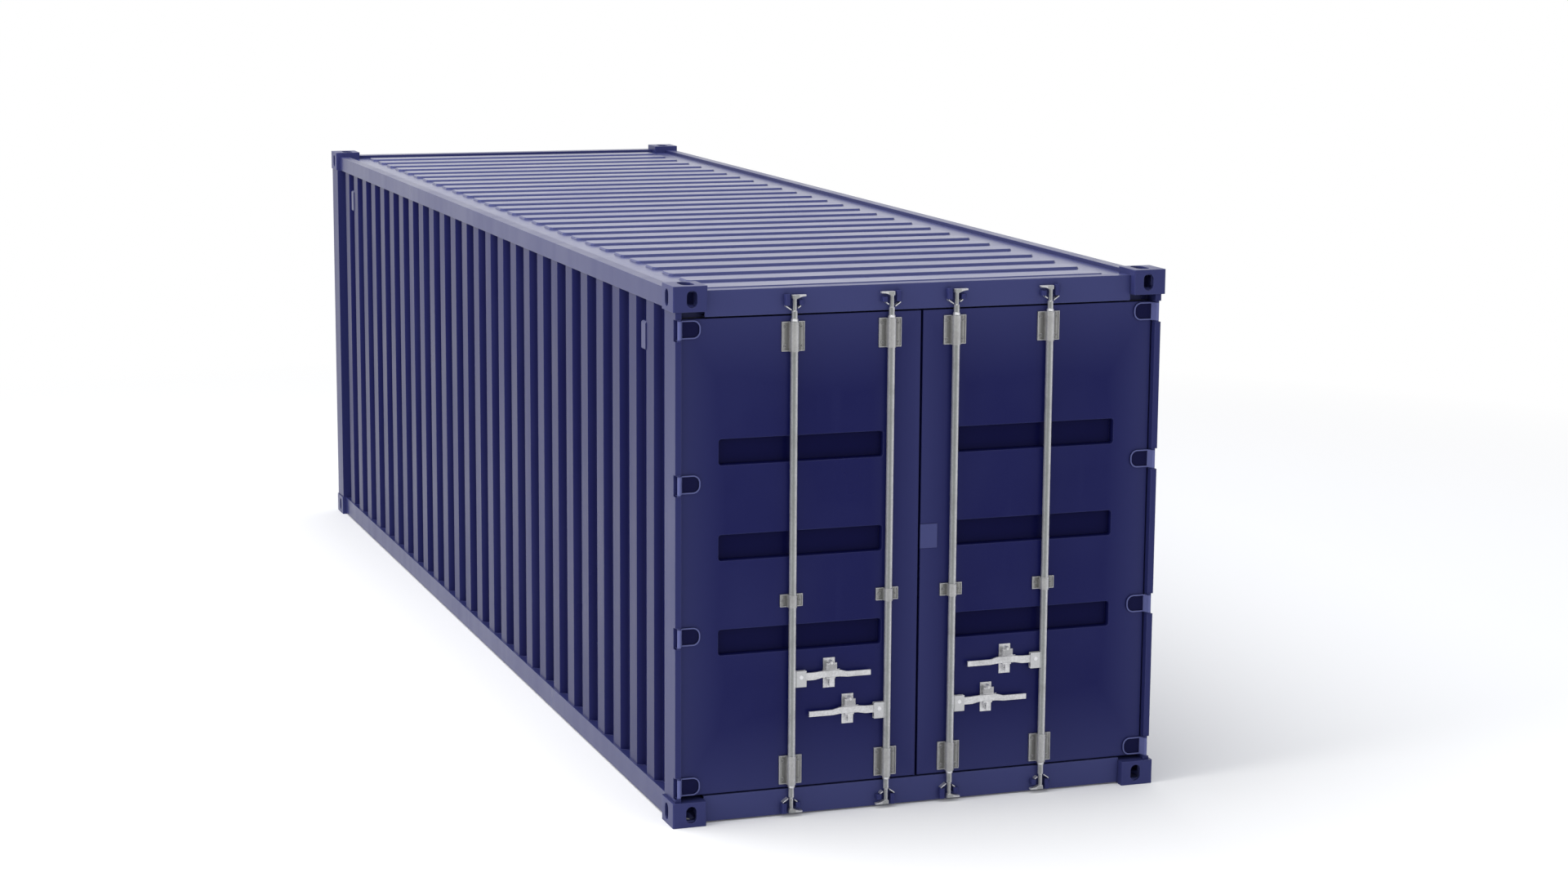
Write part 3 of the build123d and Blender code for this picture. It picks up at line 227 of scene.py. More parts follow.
def grain(tree, place, scale, detail=3.0, stretch=None):
    """Noise on a position, stretched where three factors are given."""
    if stretch:
        mapping = tree.nodes.new("ShaderNodeMapping")
        mapping.inputs["Scale"].default_value = stretch
        tree.links.new(place, mapping.inputs["Vector"])
        place = mapping.outputs["Vector"]
    node = tree.nodes.new("ShaderNodeTexNoise")
    node.inputs["Scale"].default_value = scale
    node.inputs["Detail"].default_value = detail
    tree.links.new(place, node.inputs["Vector"])
    return node.outputs["Fac"]


def coat_group():
    """Colour, roughness and height of a sprayed coat on steel, with painted light and shade mixed in."""
    group = bpy.data.node_groups.new("sprayed_coat", "ShaderNodeTree")
    for name, kind in (
        ("Coat", "NodeSocketColor"),
        ("Thin and lit coat", "NodeSocketColor"),
        ("Shaded coat", "NodeSocketColor"),
        ("Edge", "NodeSocketFloat"),
        ("Recess", "NodeSocketFloat"),
    ):
        group.interface.new_socket(name, in_out="INPUT", socket_type=kind)
    for name, kind in (
        ("Colour", "NodeSocketColor"),
        ("Roughness", "NodeSocketFloat"),
        ("Height", "NodeSocketFloat"),
    ):
        group.interface.new_socket(name, in_out="OUTPUT", socket_type=kind)
    nodes, links = group.nodes, group.links
    enter = nodes.new("NodeGroupInput")
    leave = nodes.new("NodeGroupOutput")
    place = object_place(group)
    patches = grain(group, place, PATCH_SCALE)
    runs = grain(group, place, RUN_SCALE, RUN_DETAIL, RUN_STRETCH)
    speckle = grain(group, place, DUST_SCALE, FINE_DETAIL)
    peel = grain(group, place, PEEL_SCALE, FINE_DETAIL)
    thin_patch = spread(group, patches, *PATCH_NOISE, 0.0, PATCH_THIN)
    thin_run = spread(group, runs, *RUN_NOISE, 0.0, RUN_THIN)
    dust = combine(group, "MULTIPLY", spread(group, speckle, *DUST_NOISE), DUST_THIN)
    thin_and_lit = combine(group, "MAXIMUM", enter.outputs["Edge"], thin_patch)
    thin_and_lit = combine(group, "MAXIMUM", thin_and_lit, combine(group, "ADD", dust, thin_run))
    colour = blend(group, thin_and_lit, enter.outputs["Coat"], enter.outputs["Thin and lit coat"])
    colour = blend(group, enter.outputs["Recess"], colour, enter.outputs["Shaded coat"])
    rough_patch = spread(group, patches, *ROUGH_PATCH_NOISE, *ROUGH_PATCH)
    rough_run = spread(group, runs, *ROUGH_RUN_NOISE, 0.0, ROUGH_RUN)
    links.new(colour, leave.inputs["Colour"])
    links.new(combine(group, "ADD", rough_patch, rough_run), leave.inputs["Roughness"])
    links.new(peel, leave.inputs["Height"])
    return group


def edge_group():
    """A rounded normal, and how far it turns from the flat one: 0 on flats, 1 along edges."""
    group = bpy.data.node_groups.new("rounded_edge", "ShaderNodeTree")
    group.interface.new_socket("Radius", in_out="INPUT", socket_type="NodeSocketFloat")
    group.interface.new_socket("Normal", in_out="OUTPUT", socket_type="NodeSocketVector")
    group.interface.new_socket("Edge", in_out="OUTPUT", socket_type="NodeSocketFloat")
    nodes, links = group.nodes, group.links
    enter = nodes.new("NodeGroupInput")
    leave = nodes.new("NodeGroupOutput")
    rounded = nodes.new("ShaderNodeBevel")
    rounded.samples = EDGE_SAMPLES
    links.new(enter.outputs["Radius"], rounded.inputs["Radius"])
    flat = nodes.new("ShaderNodeNewGeometry")
    dot = nodes.new("ShaderNodeVectorMath")
    dot.operation = "DOT_PRODUCT"
    links.new(rounded.outputs["Normal"], dot.inputs[0])
    links.new(flat.outputs["True Normal"], dot.inputs[1])
    links.new(rounded.outputs["Normal"], leave.inputs["Normal"])
    links.new(spread(group, dot.outputs["Value"], *EDGE_TURN), leave.inputs["Edge"])
    return group


COAT_GROUP = coat_group()
EDGE_GROUP = edge_group()


def rounded_edge(tree, radius):
    """The edge group's outputs, Normal and Edge, for edges of a radius."""
    rim = tree.nodes.new("ShaderNodeGroup")
    rim.node_tree = EDGE_GROUP
    rim.inputs["Radius"].default_value = radius
    return rim.outputs


def relief(tree, height, strength, normal=None):
    """A normal bent by a height, on top of another normal where one is given."""
    node = tree.nodes.new("ShaderNodeBump")
    node.inputs["Strength"].default_value = strength
    node.inputs["Distance"].default_value = RELIEF_DEPTH
    tree.links.new(height, node.inputs["Height"])
    if normal is not None:
        tree.links.new(normal, node.inputs["Normal"])
    return node.outputs["Normal"]


def painted(
    name,
    edge=0.004,
    wear_and_highlight=0.6,
    gloss=0.0,
    bump=0.03,
    painted_shade=None,
    painted_light=0.0,
    thin_and_lit_coat=PAINT_THIN_AND_LIT,
):
    """Painted steel: edge radius, edge wear with painted highlight, gloss, orange peel, painted shade
    and painted light; painted_shade, and painted_light where it isn't a number, take tree and place."""
    material, tree, shader = new_material(name)
    links = tree.links
    place = object_place(tree)
    film = tree.nodes.new("ShaderNodeGroup")
    film.node_tree = COAT_GROUP
    film.inputs["Coat"].default_value = PAINT
    film.inputs["Thin and lit coat"].default_value = thin_and_lit_coat
    film.inputs["Shaded coat"].default_value = PAINT_SHADED
    film.inputs["Recess"].default_value = 0.0
    rim = rounded_edge(tree, edge)
    thin_and_lit = combine(tree, "MULTIPLY", rim["Edge"], wear_and_highlight)
    base = painted_light(tree, place) if callable(painted_light) else painted_light
    links.new(combine(tree, "MAXIMUM", thin_and_lit, base), film.inputs["Edge"])
    shader.inputs["Specular IOR Level"].default_value = PAINT_SHINE
    if painted_shade:
        depth = painted_shade(tree, place)
        shine = spread(tree, depth, 0.0, 1.0, PAINT_SHINE, RECESS_SHINE)
        links.new(depth, film.inputs["Recess"])
        links.new(shine, shader.inputs["Specular IOR Level"])
    links.new(film.outputs["Colour"], shader.inputs["Base Color"])
    links.new(film.outputs["Roughness"], shader.inputs["Roughness"])
    links.new(relief(tree, film.outputs["Height"], bump, rim["Normal"]), shader.inputs["Normal"])
    shader.inputs["Coat Weight"].default_value = gloss
    shader.inputs["Coat Roughness"].default_value = GLOSS_ROUGHNESS
    shader.inputs["Coat IOR"].default_value = GLOSS_IOR
    return material


# The corner castings: eight hollow steel castings, painted with the frame. Their skin keeps the
# pitted surface of the sand mould, and their edges and slots are rounded by handling.
# They are painted lighter all over as painted light, and their edges and slot rims lighter still, partly
# as wear and partly as painted highlight.
CASTING_PITS = 0.16
CASTING_PAINTED_LIGHT = 0.36


def dress(material, *names):
    """Gives CAD nodes a material."""
    for name in names:
        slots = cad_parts[name].data.materials
        slots.clear()
        slots.append(material)


CASTINGS = painted("painted_casting", edge=0.005, wear_and_highlight=0.9, bump=CASTING_PITS, painted_light=CASTING_PAINTED_LIGHT)
dress(CASTINGS, "corner_castings_door_end", "corner_castings_blind_end")

# The frame: folded posts and rectangular tubes, welded to the castings, with their outer faces
# almost flush with them. The threshold is painted with the posts, and the vents with the rails.
# Each kind of member is painted lighter by its own amount as painted light, and the header's broad light
# edges are partly painted highlight.
POST_PAINTED_LIGHT = 0.22
RAIL_PAINTED_LIGHT = 0.30
HEADER_PAINTED_LIGHT = 0.50
POST_STEEL = painted("painted_posts", edge=0.005, wear_and_highlight=0.8, painted_light=POST_PAINTED_LIGHT)
RAIL_STEEL = painted("painted_rails", edge=0.005, wear_and_highlight=0.8, gloss=0.25, painted_light=RAIL_PAINTED_LIGHT)
HEADER_STEEL = painted("painted_header", edge=0.009, wear_and_highlight=1.0, painted_light=HEADER_PAINTED_LIGHT)
dress(POST_STEEL, "door_post_left", "door_post_right", "blind_end_posts", "door_threshold")
dress(RAIL_STEEL, "top_side_rails", "bottom_side_rails", "top_end_rail", "bottom_end_rail")
dress(RAIL_STEEL, "side_vents")
dress(HEADER_STEEL, "door_header", "door_sill")

# The keepers' lugs, welded to the header and the sill, and the plate over the seam of the doors.
# They stand proud, and they are painted lighter as painted light, with edges partly worn and partly
# painted highlight.
LUG_PAINTED_LIGHT = 0.30
LAP_PAINTED_LIGHT = 0.66
dress(painted("painted_keepers", edge=0.003, wear_and_highlight=0.9, painted_light=LUG_PAINTED_LIGHT), "cam_keepers")
dress(painted("painted_lap_plate", edge=0.003, wear_and_highlight=0.9, painted_light=LAP_PAINTED_LIGHT), "lap_plate")

# The side walls: corrugated sheet welded between the rails, crests outwards. The troughs stay in
# shade, and that shade is painted on them as a darker, duller coat.
SIDE_CREST_X = 1.187
SIDE_TROUGH_X = 1.151
CREST_MARGIN = 0.002
TROUGH_MARGIN = 0.006
TROUGH_SHADE = 0.60


def axis_of(tree, vector, axis):
    """One coordinate of a position, a normal or a colour."""
    node = tree.nodes.new("ShaderNodeSeparateXYZ")
    tree.links.new(vector, node.inputs[0])
    return node.outputs[axis]


def aside(tree, place):
    """How far a spot lies to either side of the container's middle."""
    return combine(tree, "ABSOLUTE", axis_of(tree, place, "X"))


def trough_shade(tree, out, crest, trough):
    """No shade down to just under the crests, and all of it from just over the troughs."""
    return spread(tree, out, crest - CREST_MARGIN, trough + TROUGH_MARGIN, 0.0, TROUGH_SHADE)


def side_shade(tree, place):
    return trough_shade(tree, aside(tree, place), SIDE_CREST_X, SIDE_TROUGH_X)


SIDE_STEEL = painted("painted_side_wall", edge=0.006, wear_and_highlight=0.5, painted_shade=side_shade)
dress(SIDE_STEEL, "side_wall_left", "side_wall_right")

# The end wall: the same sheet with deeper corrugations, welded between the posts and the rails. Its
# crests face outwards too, away from the doors.
# Its troughs get the same painted shade as the side walls' troughs.
END_CREST_Y = 3.9425
END_TROUGH_Y = 3.8975


def end_shade(tree, place):
    return trough_shade(tree, axis_of(tree, place, "Y"), END_CREST_Y, END_TROUGH_Y)


dress(painted("painted_end_wall", edge=0.006, wear_and_highlight=0.5, painted_shade=end_shade), "end_wall")

# The roof: die-stamped sheet, welded between the top rails. It faces the sky, so its coat shines
# and carries a little pale dust in clouds. The whole sheet is painted lighter as painted light, and
# the flanks of the ribs lighter still.
ROOF_PAINTED_LIGHT = 0.50
ROOF_DUST = 0.75
ROOF_DUST_SCALE = 0.9
ROOF_DUST_DETAIL = 5.0
ROOF_DUST_NOISE = (0.30, 0.75)
FLANK_SLOPE = (0.97, 0.75)
FLANK_PAINTED_LIGHT = 0.85


def level(tree):
    """1 where a face lies level, 0 where it stands upright."""
    facing = tree.nodes.new("ShaderNodeNewGeometry")
    return combine(tree, "ABSOLUTE", axis_of(tree, facing.outputs["Normal"], "Z"))


def roof_dust_and_light(tree, place):
    clouds = grain(tree, place, ROOF_DUST_SCALE, ROOF_DUST_DETAIL)
    dust = spread(tree, clouds, *ROOF_DUST_NOISE, ROOF_PAINTED_LIGHT, ROOF_DUST)
    return combine(tree, "MAXIMUM", dust, spread(tree, level(tree), *FLANK_SLOPE, 0.0, FLANK_PAINTED_LIGHT))


dress(painted("painted_roof", edge=0.008, wear_and_highlight=0.5, gloss=0.5, bump=0.01, painted_light=roof_dust_and_light), "roof")

# The door leaves: a pressed sheet on a frame of tubes. Towards their borders they are painted
# lighter as painted light, and in the pockets darker as painted shade.
DOOR_FACE_Y = -3.9145
DOOR_MIDDLE_X = 0.590
DOOR_MIDDLE_Z = 1.2505
DOOR_HALF_WIDTH = 0.5815
DOOR_HALF_HEIGHT = 1.1105
BORDER_LIGHT = 0.26
BORDER_BESIDE = 0.24
BORDER_ABOVE = 0.38
POCKET_START = 0.001
POCKET_FULL = 0.020
POCKET_SHADE = 0.78


def away(tree, value, middle):
    """How far a value is from a middle."""
    return combine(tree, "ABSOLUTE", combine(tree, "SUBTRACT", value, middle))


def door_border_light(tree, place):
    across = away(tree, aside(tree, place), DOOR_MIDDLE_X)
    height = away(tree, axis_of(tree, place, "Z"), DOOR_MIDDLE_Z)
    beside = combine(tree, "SUBTRACT", DOOR_HALF_WIDTH, across)
    above = combine(tree, "SUBTRACT", DOOR_HALF_HEIGHT, height)
    side_light = spread(tree, beside, BORDER_BESIDE, 0.0, 0.0, BORDER_LIGHT)
    end_light = spread(tree, above, BORDER_ABOVE, 0.0, 0.0, BORDER_LIGHT)
    return combine(tree, "MAXIMUM", side_light, end_light)


def pocket_shade(tree, place):
    start, full = DOOR_FACE_Y + POCKET_START, DOOR_FACE_Y + POCKET_FULL
    return spread(tree, axis_of(tree, place, "Y"), start, full, 0.0, POCKET_SHADE)


DOOR_SKIN = painted(
    "painted_door_skin", edge=0.006, wear_and_highlight=0.4, painted_light=door_border_light, painted_shade=pocket_shade
)
dress(DOOR_SKIN, "door_panel_left", "door_panel_right")
dress(painted("painted_door_frame", gloss=0.2), "door_frame_left", "door_frame_right")

# The hinges: forged blades fixed to the doors' frames, which turn on pins held by the posts. They
# are painted with the doors. Their rims are painted pale as painted highlight, and the dish inside
# the rim is painted dark as painted shade.
HINGE_RIM_Y = -3.925
DISH_START = 0.001
DISH_FULL = 0.005
DISH_SIDE_X = (1.173, 1.170)
DISH_SHADE = 0.95
HINGE_PAINTED_LIGHT = 0.90
HINGE_THIN_AND_LIT = (0.115, 0.128, 0.300, 1)


def dish_shade(tree, place):
    start, full = HINGE_RIM_Y + DISH_START, HINGE_RIM_Y + DISH_FULL
    depth = spread(tree, axis_of(tree, place, "Y"), start, full)
    inside = spread(tree, aside(tree, place), *DISH_SIDE_X)
    return combine(tree, "MULTIPLY", combine(tree, "MULTIPLY", depth, inside), DISH_SHADE)


HINGES = painted(
    "painted_hinges",
    edge=0.003,
    wear_and_highlight=1.0,
    painted_shade=dish_shade,
    painted_light=HINGE_PAINTED_LIGHT,
    thin_and_lit_coat=HINGE_THIN_AND_LIT,
)
dress(HINGES, "door_hinges_left", "door_hinges_right")

# The floor's channels: rolled steel under the boards, coated with the frame but never polished, so
# the coat is dull and dusty.
dress(painted("painted_channel", wear_and_highlight=0.3, bump=0.10), "cross_members")

# The locking gear: rods, cams, handles, catches, brackets and guides of hot-dipped zinc over steel,
# light grey with a soft crystal pattern. A painted reflection makes each piece darker where it faces
# the eye and brighter towards the sides of round pieces. Edges are lighter, partly as wear and partly
# as painted highlight, and cams, clevises, rivet heads and collars carry painted highlights. The
# wings of the brackets lie in the shade of their rims, painted on them as a dull, dark tone.
# A dull tone for the crystals and stains, also used as painted shade on the bracket wings.
ZINC_DULL_AND_SHADED = (0.15, 0.15, 0.145, 1)
# Edges are lighter, partly as wear and partly as painted highlight.
ZINC_WORN_AND_LIT = (0.90, 0.90, 0.92, 1)
ZINC_HIGHLIGHT = (0.70, 0.70, 0.72, 1)
ZINC_EDGE = 0.0015
ZINC_WEAR_AND_HIGHLIGHT = 0.7
ZINC_METAL = 0.8
ZINC_ROUGHNESS = (0.36, 0.50)
ZINC_GRAIN_SCALE = 180.0
ZINC_BUMP = 0.06
CRYSTAL_SCALE = 160.0
CRYSTAL_TONE = 0.22
STAIN_SCALE = 14.0
STAIN_DETAIL = 5.0
STAIN_NOISE = (0.5, 0.8)
STAIN_TONE = 0.35
FACING_BLEND = 0.5
FACING_RANGE = (0.02, 0.40)
ROD_COUNT = 4
ROD_X = (0.635, 0.161)
ROD_RADIUS = 0.017
COLLAR_Z = (0.1465, 2.3405)
COLLAR_HALF = 0.0045
COLLAR_FADE = 0.001
ARM_START = 0.001
ARM_FULL = 0.004
ARM_SHINE = 0.45
HEAD_Y = -3.9530
HEAD_RISE = 0.001
WING_Y = -3.9185
WING_START = 0.008
WING_FULL = 0.002
FLUTE_ASIDE = (0.036, 0.044)
WING_SHADE = (1.0, 0.45)


def beside_rod(tree, place):
    """How far a spot lies aside of the nearest rod's axis."""
    across = aside(tree, place)
    outer, inner = (away(tree, across, x) for x in ROD_X)
    return combine(tree, "MINIMUM", outer, inner)


def wing_shade(tree, place):
    """Painted shade on the wings, darkest in a band beside the arch."""
    start, full = WING_Y - WING_START, WING_Y - WING_FULL
    behind = spread(tree, axis_of(tree, place, "Y"), start, full)
    flute = spread(tree, beside_rod(tree, place), *FLUTE_ASIDE, *WING_SHADE)
    return combine(tree, "MULTIPLY", behind, flute)


def painted_highlights(tree, place):
    """Painted highlights: the cams and clevises, out of the rod's round, their rivets' heads, the
    collars.
    """
    start, full = ROD_RADIUS + ARM_START, ROD_RADIUS + ARM_FULL
    arm = spread(tree, beside_rod(tree, place), start, full)
    depth = axis_of(tree, place, "Y")
    arm = combine(tree, "MULTIPLY", arm, spread(tree, depth, HEAD_Y, HEAD_Y - HEAD_RISE, ARM_SHINE, 1.0))
    height = axis_of(tree, place, "Z")
    for z in COLLAR_Z:
        collar = spread(tree, away(tree, height, z), COLLAR_HALF, COLLAR_HALF - COLLAR_FADE)
        arm = combine(tree, "MAXIMUM", arm, collar)
    return arm


def galvanised_steel(name, front, side_sheen, painted_shade=None, bright=None):
    """Zinc with a painted reflection: one tone facing the eye, another towards the sides of round
    pieces.
    """
    material, tree, shader = new_material(name)
    nodes, links = tree.nodes, tree.links
    place = object_place(tree)
    crystals = nodes.new("ShaderNodeTexVoronoi")
    crystals.inputs["Scale"].default_value = CRYSTAL_SCALE
    links.new(place, crystals.inputs["Vector"])
    flecks = axis_of(tree, crystals.outputs["Color"], "X")
    facing = nodes.new("ShaderNodeLayerWeight")
    facing.inputs["Blend"].default_value = FACING_BLEND
    side = spread(tree, facing.outputs["Facing"], *FACING_RANGE)
    clouds = spread(tree, grain(tree, place, STAIN_SCALE, STAIN_DETAIL), *STAIN_NOISE)
    stain = combine(tree, "MULTIPLY", clouds, STAIN_TONE)
    rim = rounded_edge(tree, ZINC_EDGE)
    colour = blend(tree, side, front, side_sheen)
    colour = blend(tree, combine(tree, "MULTIPLY", flecks, CRYSTAL_TONE), colour, ZINC_DULL_AND_SHADED)
    colour = blend(tree, stain, colour, ZINC_DULL_AND_SHADED)
    if painted_shade:
        colour = blend(tree, painted_shade(tree, place), colour, ZINC_DULL_AND_SHADED)
    if bright:
        colour = blend(tree, bright(tree, place), colour, ZINC_HIGHLIGHT)
    colour = blend(tree, combine(tree, "MULTIPLY", rim["Edge"], ZINC_WEAR_AND_HIGHLIGHT), colour, ZINC_WORN_AND_LIT)
    links.new(colour, shader.inputs["Base Color"])
    links.new(spread(tree, flecks, 0.0, 1.0, *ZINC_ROUGHNESS), shader.inputs["Roughness"])
    shader.inputs["Metallic"].default_value = ZINC_METAL
    skin = grain(tree, place, ZINC_GRAIN_SCALE)
    links.new(relief(tree, skin, ZINC_BUMP, rim["Normal"]), shader.inputs["Normal"])
    return material


ROD_ZINC = galvanised_steel(
    "rod_zinc", front=(0.22, 0.23, 0.23, 1), side_sheen=(0.74, 0.74, 0.76, 1), bright=painted_highlights
)
HANDLE_ZINC = galvanised_steel(
    "handle_zinc", front=(0.60, 0.60, 0.61, 1), side_sheen=(0.70, 0.70, 0.72, 1)
)
CATCH_ZINC = galvanised_steel(
    "catch_zinc", front=(0.22, 0.22, 0.23, 1), side_sheen=(0.86, 0.86, 0.88, 1)
)
RETAINER_ZINC = galvanised_steel(
    "retainer_zinc", front=(0.62, 0.62, 0.63, 1), side_sheen=(0.74, 0.74, 0.76, 1)
)
BRACKET_ZINC = galvanised_steel(
    "bracket_zinc", front=(0.36, 0.36, 0.36, 1), side_sheen=(0.62, 0.62, 0.63, 1), painted_shade=wing_shade
)
dress(BRACKET_ZINC, "rod_brackets_left", "rod_brackets_right")
dress(RETAINER_ZINC, "handle_retainers_left", "handle_retainers_right")
dress(HANDLE_ZINC, "keeper_guides")
for number in range(1, ROD_COUNT + 1):
    dress(ROD_ZINC, f"locking_rod_{number}")
    dress(HANDLE_ZINC, f"handle_{number}")
    dress(CATCH_ZINC, f"catch_{number}")

# The door seals: extruded black rubber, screwed to the back edge of each leaf. Dust sticks to it in
# patches and makes it dull.
RUBBER = (0.016, 0.016, 0.017, 1)
RUBBER_DUSTY = (0.070, 0.068, 0.064, 1)
RUBBER_DUST_SCALE = 22.0
RUBBER_DUST_DETAIL = 4.0
RUBBER_DUST_NOISE = (0.5, 0.8)
RUBBER_DUST = 0.6
RUBBER_ROUGHNESS = (0.55, 0.85)
RUBBER_GRAIN_SCALE = 320.0
RUBBER_BUMP = 0.15


def seal_rubber():
    material, tree, shader = new_material("seal_rubber")
    links = tree.links
    place = object_place(tree)
    clouds = grain(tree, place, RUBBER_DUST_SCALE, RUBBER_DUST_DETAIL)
    dust = spread(tree, clouds, *RUBBER_DUST_NOISE, 0.0, RUBBER_DUST)
    links.new(blend(tree, dust, RUBBER, RUBBER_DUSTY), shader.inputs["Base Color"])
    links.new(spread(tree, dust, 0.0, RUBBER_DUST, *RUBBER_ROUGHNESS), shader.inputs["Roughness"])
    skin = grain(tree, place, RUBBER_GRAIN_SCALE, FINE_DETAIL)
    links.new(relief(tree, skin, RUBBER_BUMP), shader.inputs["Normal"])
    return material


dress(seal_rubber(), "door_seal_left", "door_seal_right")

# The floor: thick plywood boards of reddish tropical wood, oiled, screwed to the channels. The
# grain runs along the container, and the edges show the plies.
PLYWOOD_LIGHT = (0.36, 0.19, 0.09, 1)
PLYWOOD_DARK = (0.16, 0.070, 0.032, 1)
FIBRE_SCALE = 30.0
FIBRE_DETAIL = 6.0
FIBRE_STRETCH = (1.0, 0.035, 1.0)
FIBRE_SHARE = 0.6
FIGURE_SCALE = 3.0
FIGURE_STRETCH = (1.0, 0.15, 1.0)
FIGURE_SHARE = 0.4
PLY_THICKNESS = 0.0024
PLY_SHARE = 0.25
BOARD_EDGE_SLOPE = (0.7, 0.3)
WOOD_TONE = (0.35, 0.70)
WOOD_FIGURE = (0.3, 0.7)
WOOD_ROUGHNESS = (0.42, 0.62)
WOOD_BUMP = 0.2


def plywood():
    material, tree, shader = new_material("floor_plywood")
    links = tree.links
    place = object_place(tree)
    fibres = grain(tree, place, FIBRE_SCALE, FIBRE_DETAIL, FIBRE_STRETCH)
    figure = grain(tree, place, FIGURE_SCALE, stretch=FIGURE_STRETCH)
    plies = combine(tree, "PINGPONG", axis_of(tree, place, "Z"), PLY_THICKNESS)
    plies = spread(tree, plies, 0.0, PLY_THICKNESS)
    edge = spread(tree, level(tree), *BOARD_EDGE_SLOPE)
    plies = combine(tree, "MULTIPLY", combine(tree, "MULTIPLY", plies, edge), PLY_SHARE)
    fibre_tone = combine(tree, "MULTIPLY", fibres, FIBRE_SHARE)
    figure_tone = combine(tree, "MULTIPLY", figure, FIGURE_SHARE)
    tone = combine(tree, "ADD", combine(tree, "ADD", fibre_tone, figure_tone), plies)
    colour = blend(tree, spread(tree, tone, *WOOD_TONE), PLYWOOD_LIGHT, PLYWOOD_DARK)
    links.new(colour, shader.inputs["Base Color"])
    links.new(spread(tree, figure, *WOOD_FIGURE, *WOOD_ROUGHNESS), shader.inputs["Roughness"])
    links.new(relief(tree, fibres, WOOD_BUMP), shader.inputs["Normal"])
    return material


dress(plywood(), "floor_boards")

# The bracket bolts: zinc-plated hexagon bolts on washers, four through each tall bracket and two
# through each small guide, into the door leaf.
BOLT_HEAD = {
    "Head radius": 0.0062,
    "Head height": 0.0046,
    "Washer radius": 0.0082,
    "Washer height": 0.0014,
}
WASHER_SIDES = 20
HEXAGON = 6
TALL_BRACKET_Z = (2.264, 0.223)
GUIDE_Z = 1.032
BOLT_ASIDE = 0.037
BOLT_ABOVE = 0.044
# The heads of the bolts and screws take the zinc's painted reflection, nearly black where they face the
# eye.
BOLT_ZINC = galvanised_steel(
    "bolt_zinc", front=(0.08, 0.08, 0.08, 1), side_sheen=(0.40, 0.40, 0.41, 1)
)


def geometry_tree(name, *sizes):
    """A geometry node tree that takes a mesh of places, named sizes and a material, and its two ends."""
    tree = bpy.data.node_groups.new(name, "GeometryNodeTree")
    tree.interface.new_socket("Places", in_out="INPUT", socket_type="NodeSocketGeometry")
    for size in sizes:
        tree.interface.new_socket(size, in_out="INPUT", socket_type="NodeSocketFloat")
    tree.interface.new_socket("Finish", in_out="INPUT", socket_type="NodeSocketMaterial")
    tree.interface.new_socket("Pieces", in_out="OUTPUT", socket_type="NodeSocketGeometry")
    return tree, tree.nodes.new("NodeGroupInput"), tree.nodes.new("NodeGroupOutput")


def close_tree(tree, enter, leave, geometry):
    """Realizes what has grown and gives it the finish."""
    real = tree.nodes.new("GeometryNodeRealizeInstances")
    finish = tree.nodes.new("GeometryNodeSetMaterial")
    tree.links.new(geometry, real.inputs["Geometry"])
    tree.links.new(real.outputs["Geometry"], finish.inputs["Geometry"])
    tree.links.new(enter.outputs["Finish"], finish.inputs["Material"])
    tree.links.new(finish.outputs["Geometry"], leave.inputs["Pieces"])


def disc(tree, radius, height, base, sides):
    """A prism of a radius and a height that stands on a base height."""
    prism = tree.nodes.new("GeometryNodeMeshCylinder")
    prism.inputs["Vertices"].default_value = sides
    tree.links.new(radius, prism.inputs["Radius"])
    tree.links.new(height, prism.inputs["Depth"])
    place = tree.nodes.new("ShaderNodeCombineXYZ")
    middle = combine(tree, "ADD", combine(tree, "MULTIPLY", height, 0.5), base)
    tree.links.new(middle, place.inputs["Z"])
    move = tree.nodes.new("GeometryNodeTransform")
    tree.links.new(prism.outputs["Mesh"], move.inputs["Geometry"])
    tree.links.new(place.outputs[0], move.inputs["Translation"])
    return move.outputs["Geometry"]


def copies(tree, enter, piece):
    """One copy of a piece on each place."""
    node = tree.nodes.new("GeometryNodeInstanceOnPoints")
    tree.links.new(enter.outputs["Places"], node.inputs["Points"])
    tree.links.new(piece, node.inputs["Instance"])
    return node.outputs["Instances"]


def grow(name, places, edges, tree, sizes, finish, body):
    """One plain mesh grown by a tree from points and edges, riding on a body."""
    mesh = bpy.data.meshes.new(name)
    mesh.from_pydata(places, edges, [])
    piece = bpy.data.objects.new(name, mesh)
    bpy.context.scene.collection.objects.link(piece)
    modifier = piece.modifiers.new("grow", "NODES")
    modifier.node_group = tree
    values = dict(sizes, Finish=finish)
    for item in tree.interface.items_tree:
        if item.item_type == "SOCKET" and item.in_out == "INPUT" and item.name in values:
            modifier[item.identifier] = values[item.name]
    evaluated = piece.evaluated_get(bpy.context.evaluated_depsgraph_get())
    result = bpy.data.meshes.new_from_object(evaluated)
    piece.modifiers.clear()
    piece.data = result
    result.name = name
    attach(piece, body)


def bolt_tree():
    tree, enter, leave = geometry_tree("bolts", *BOLT_HEAD)
    sizes = enter.outputs
    washer = disc(tree, sizes["Washer radius"], sizes["Washer height"], 0.0, WASHER_SIDES)
    head = disc(tree, sizes["Head radius"], sizes["Head height"], sizes["Washer height"], HEXAGON)
    both = tree.nodes.new("GeometryNodeJoinGeometry")
    tree.links.new(washer, both.inputs[0])
    tree.links.new(head, both.inputs[0])
    turn = tree.nodes.new("GeometryNodeTransform")
    turn.inputs["Rotation"].default_value = (pi / 2, 0, 0)
    tree.links.new(both.outputs[0], turn.inputs["Geometry"])
    close_tree(tree, enter, leave, copies(tree, enter, turn.outputs["Geometry"]))
    return tree


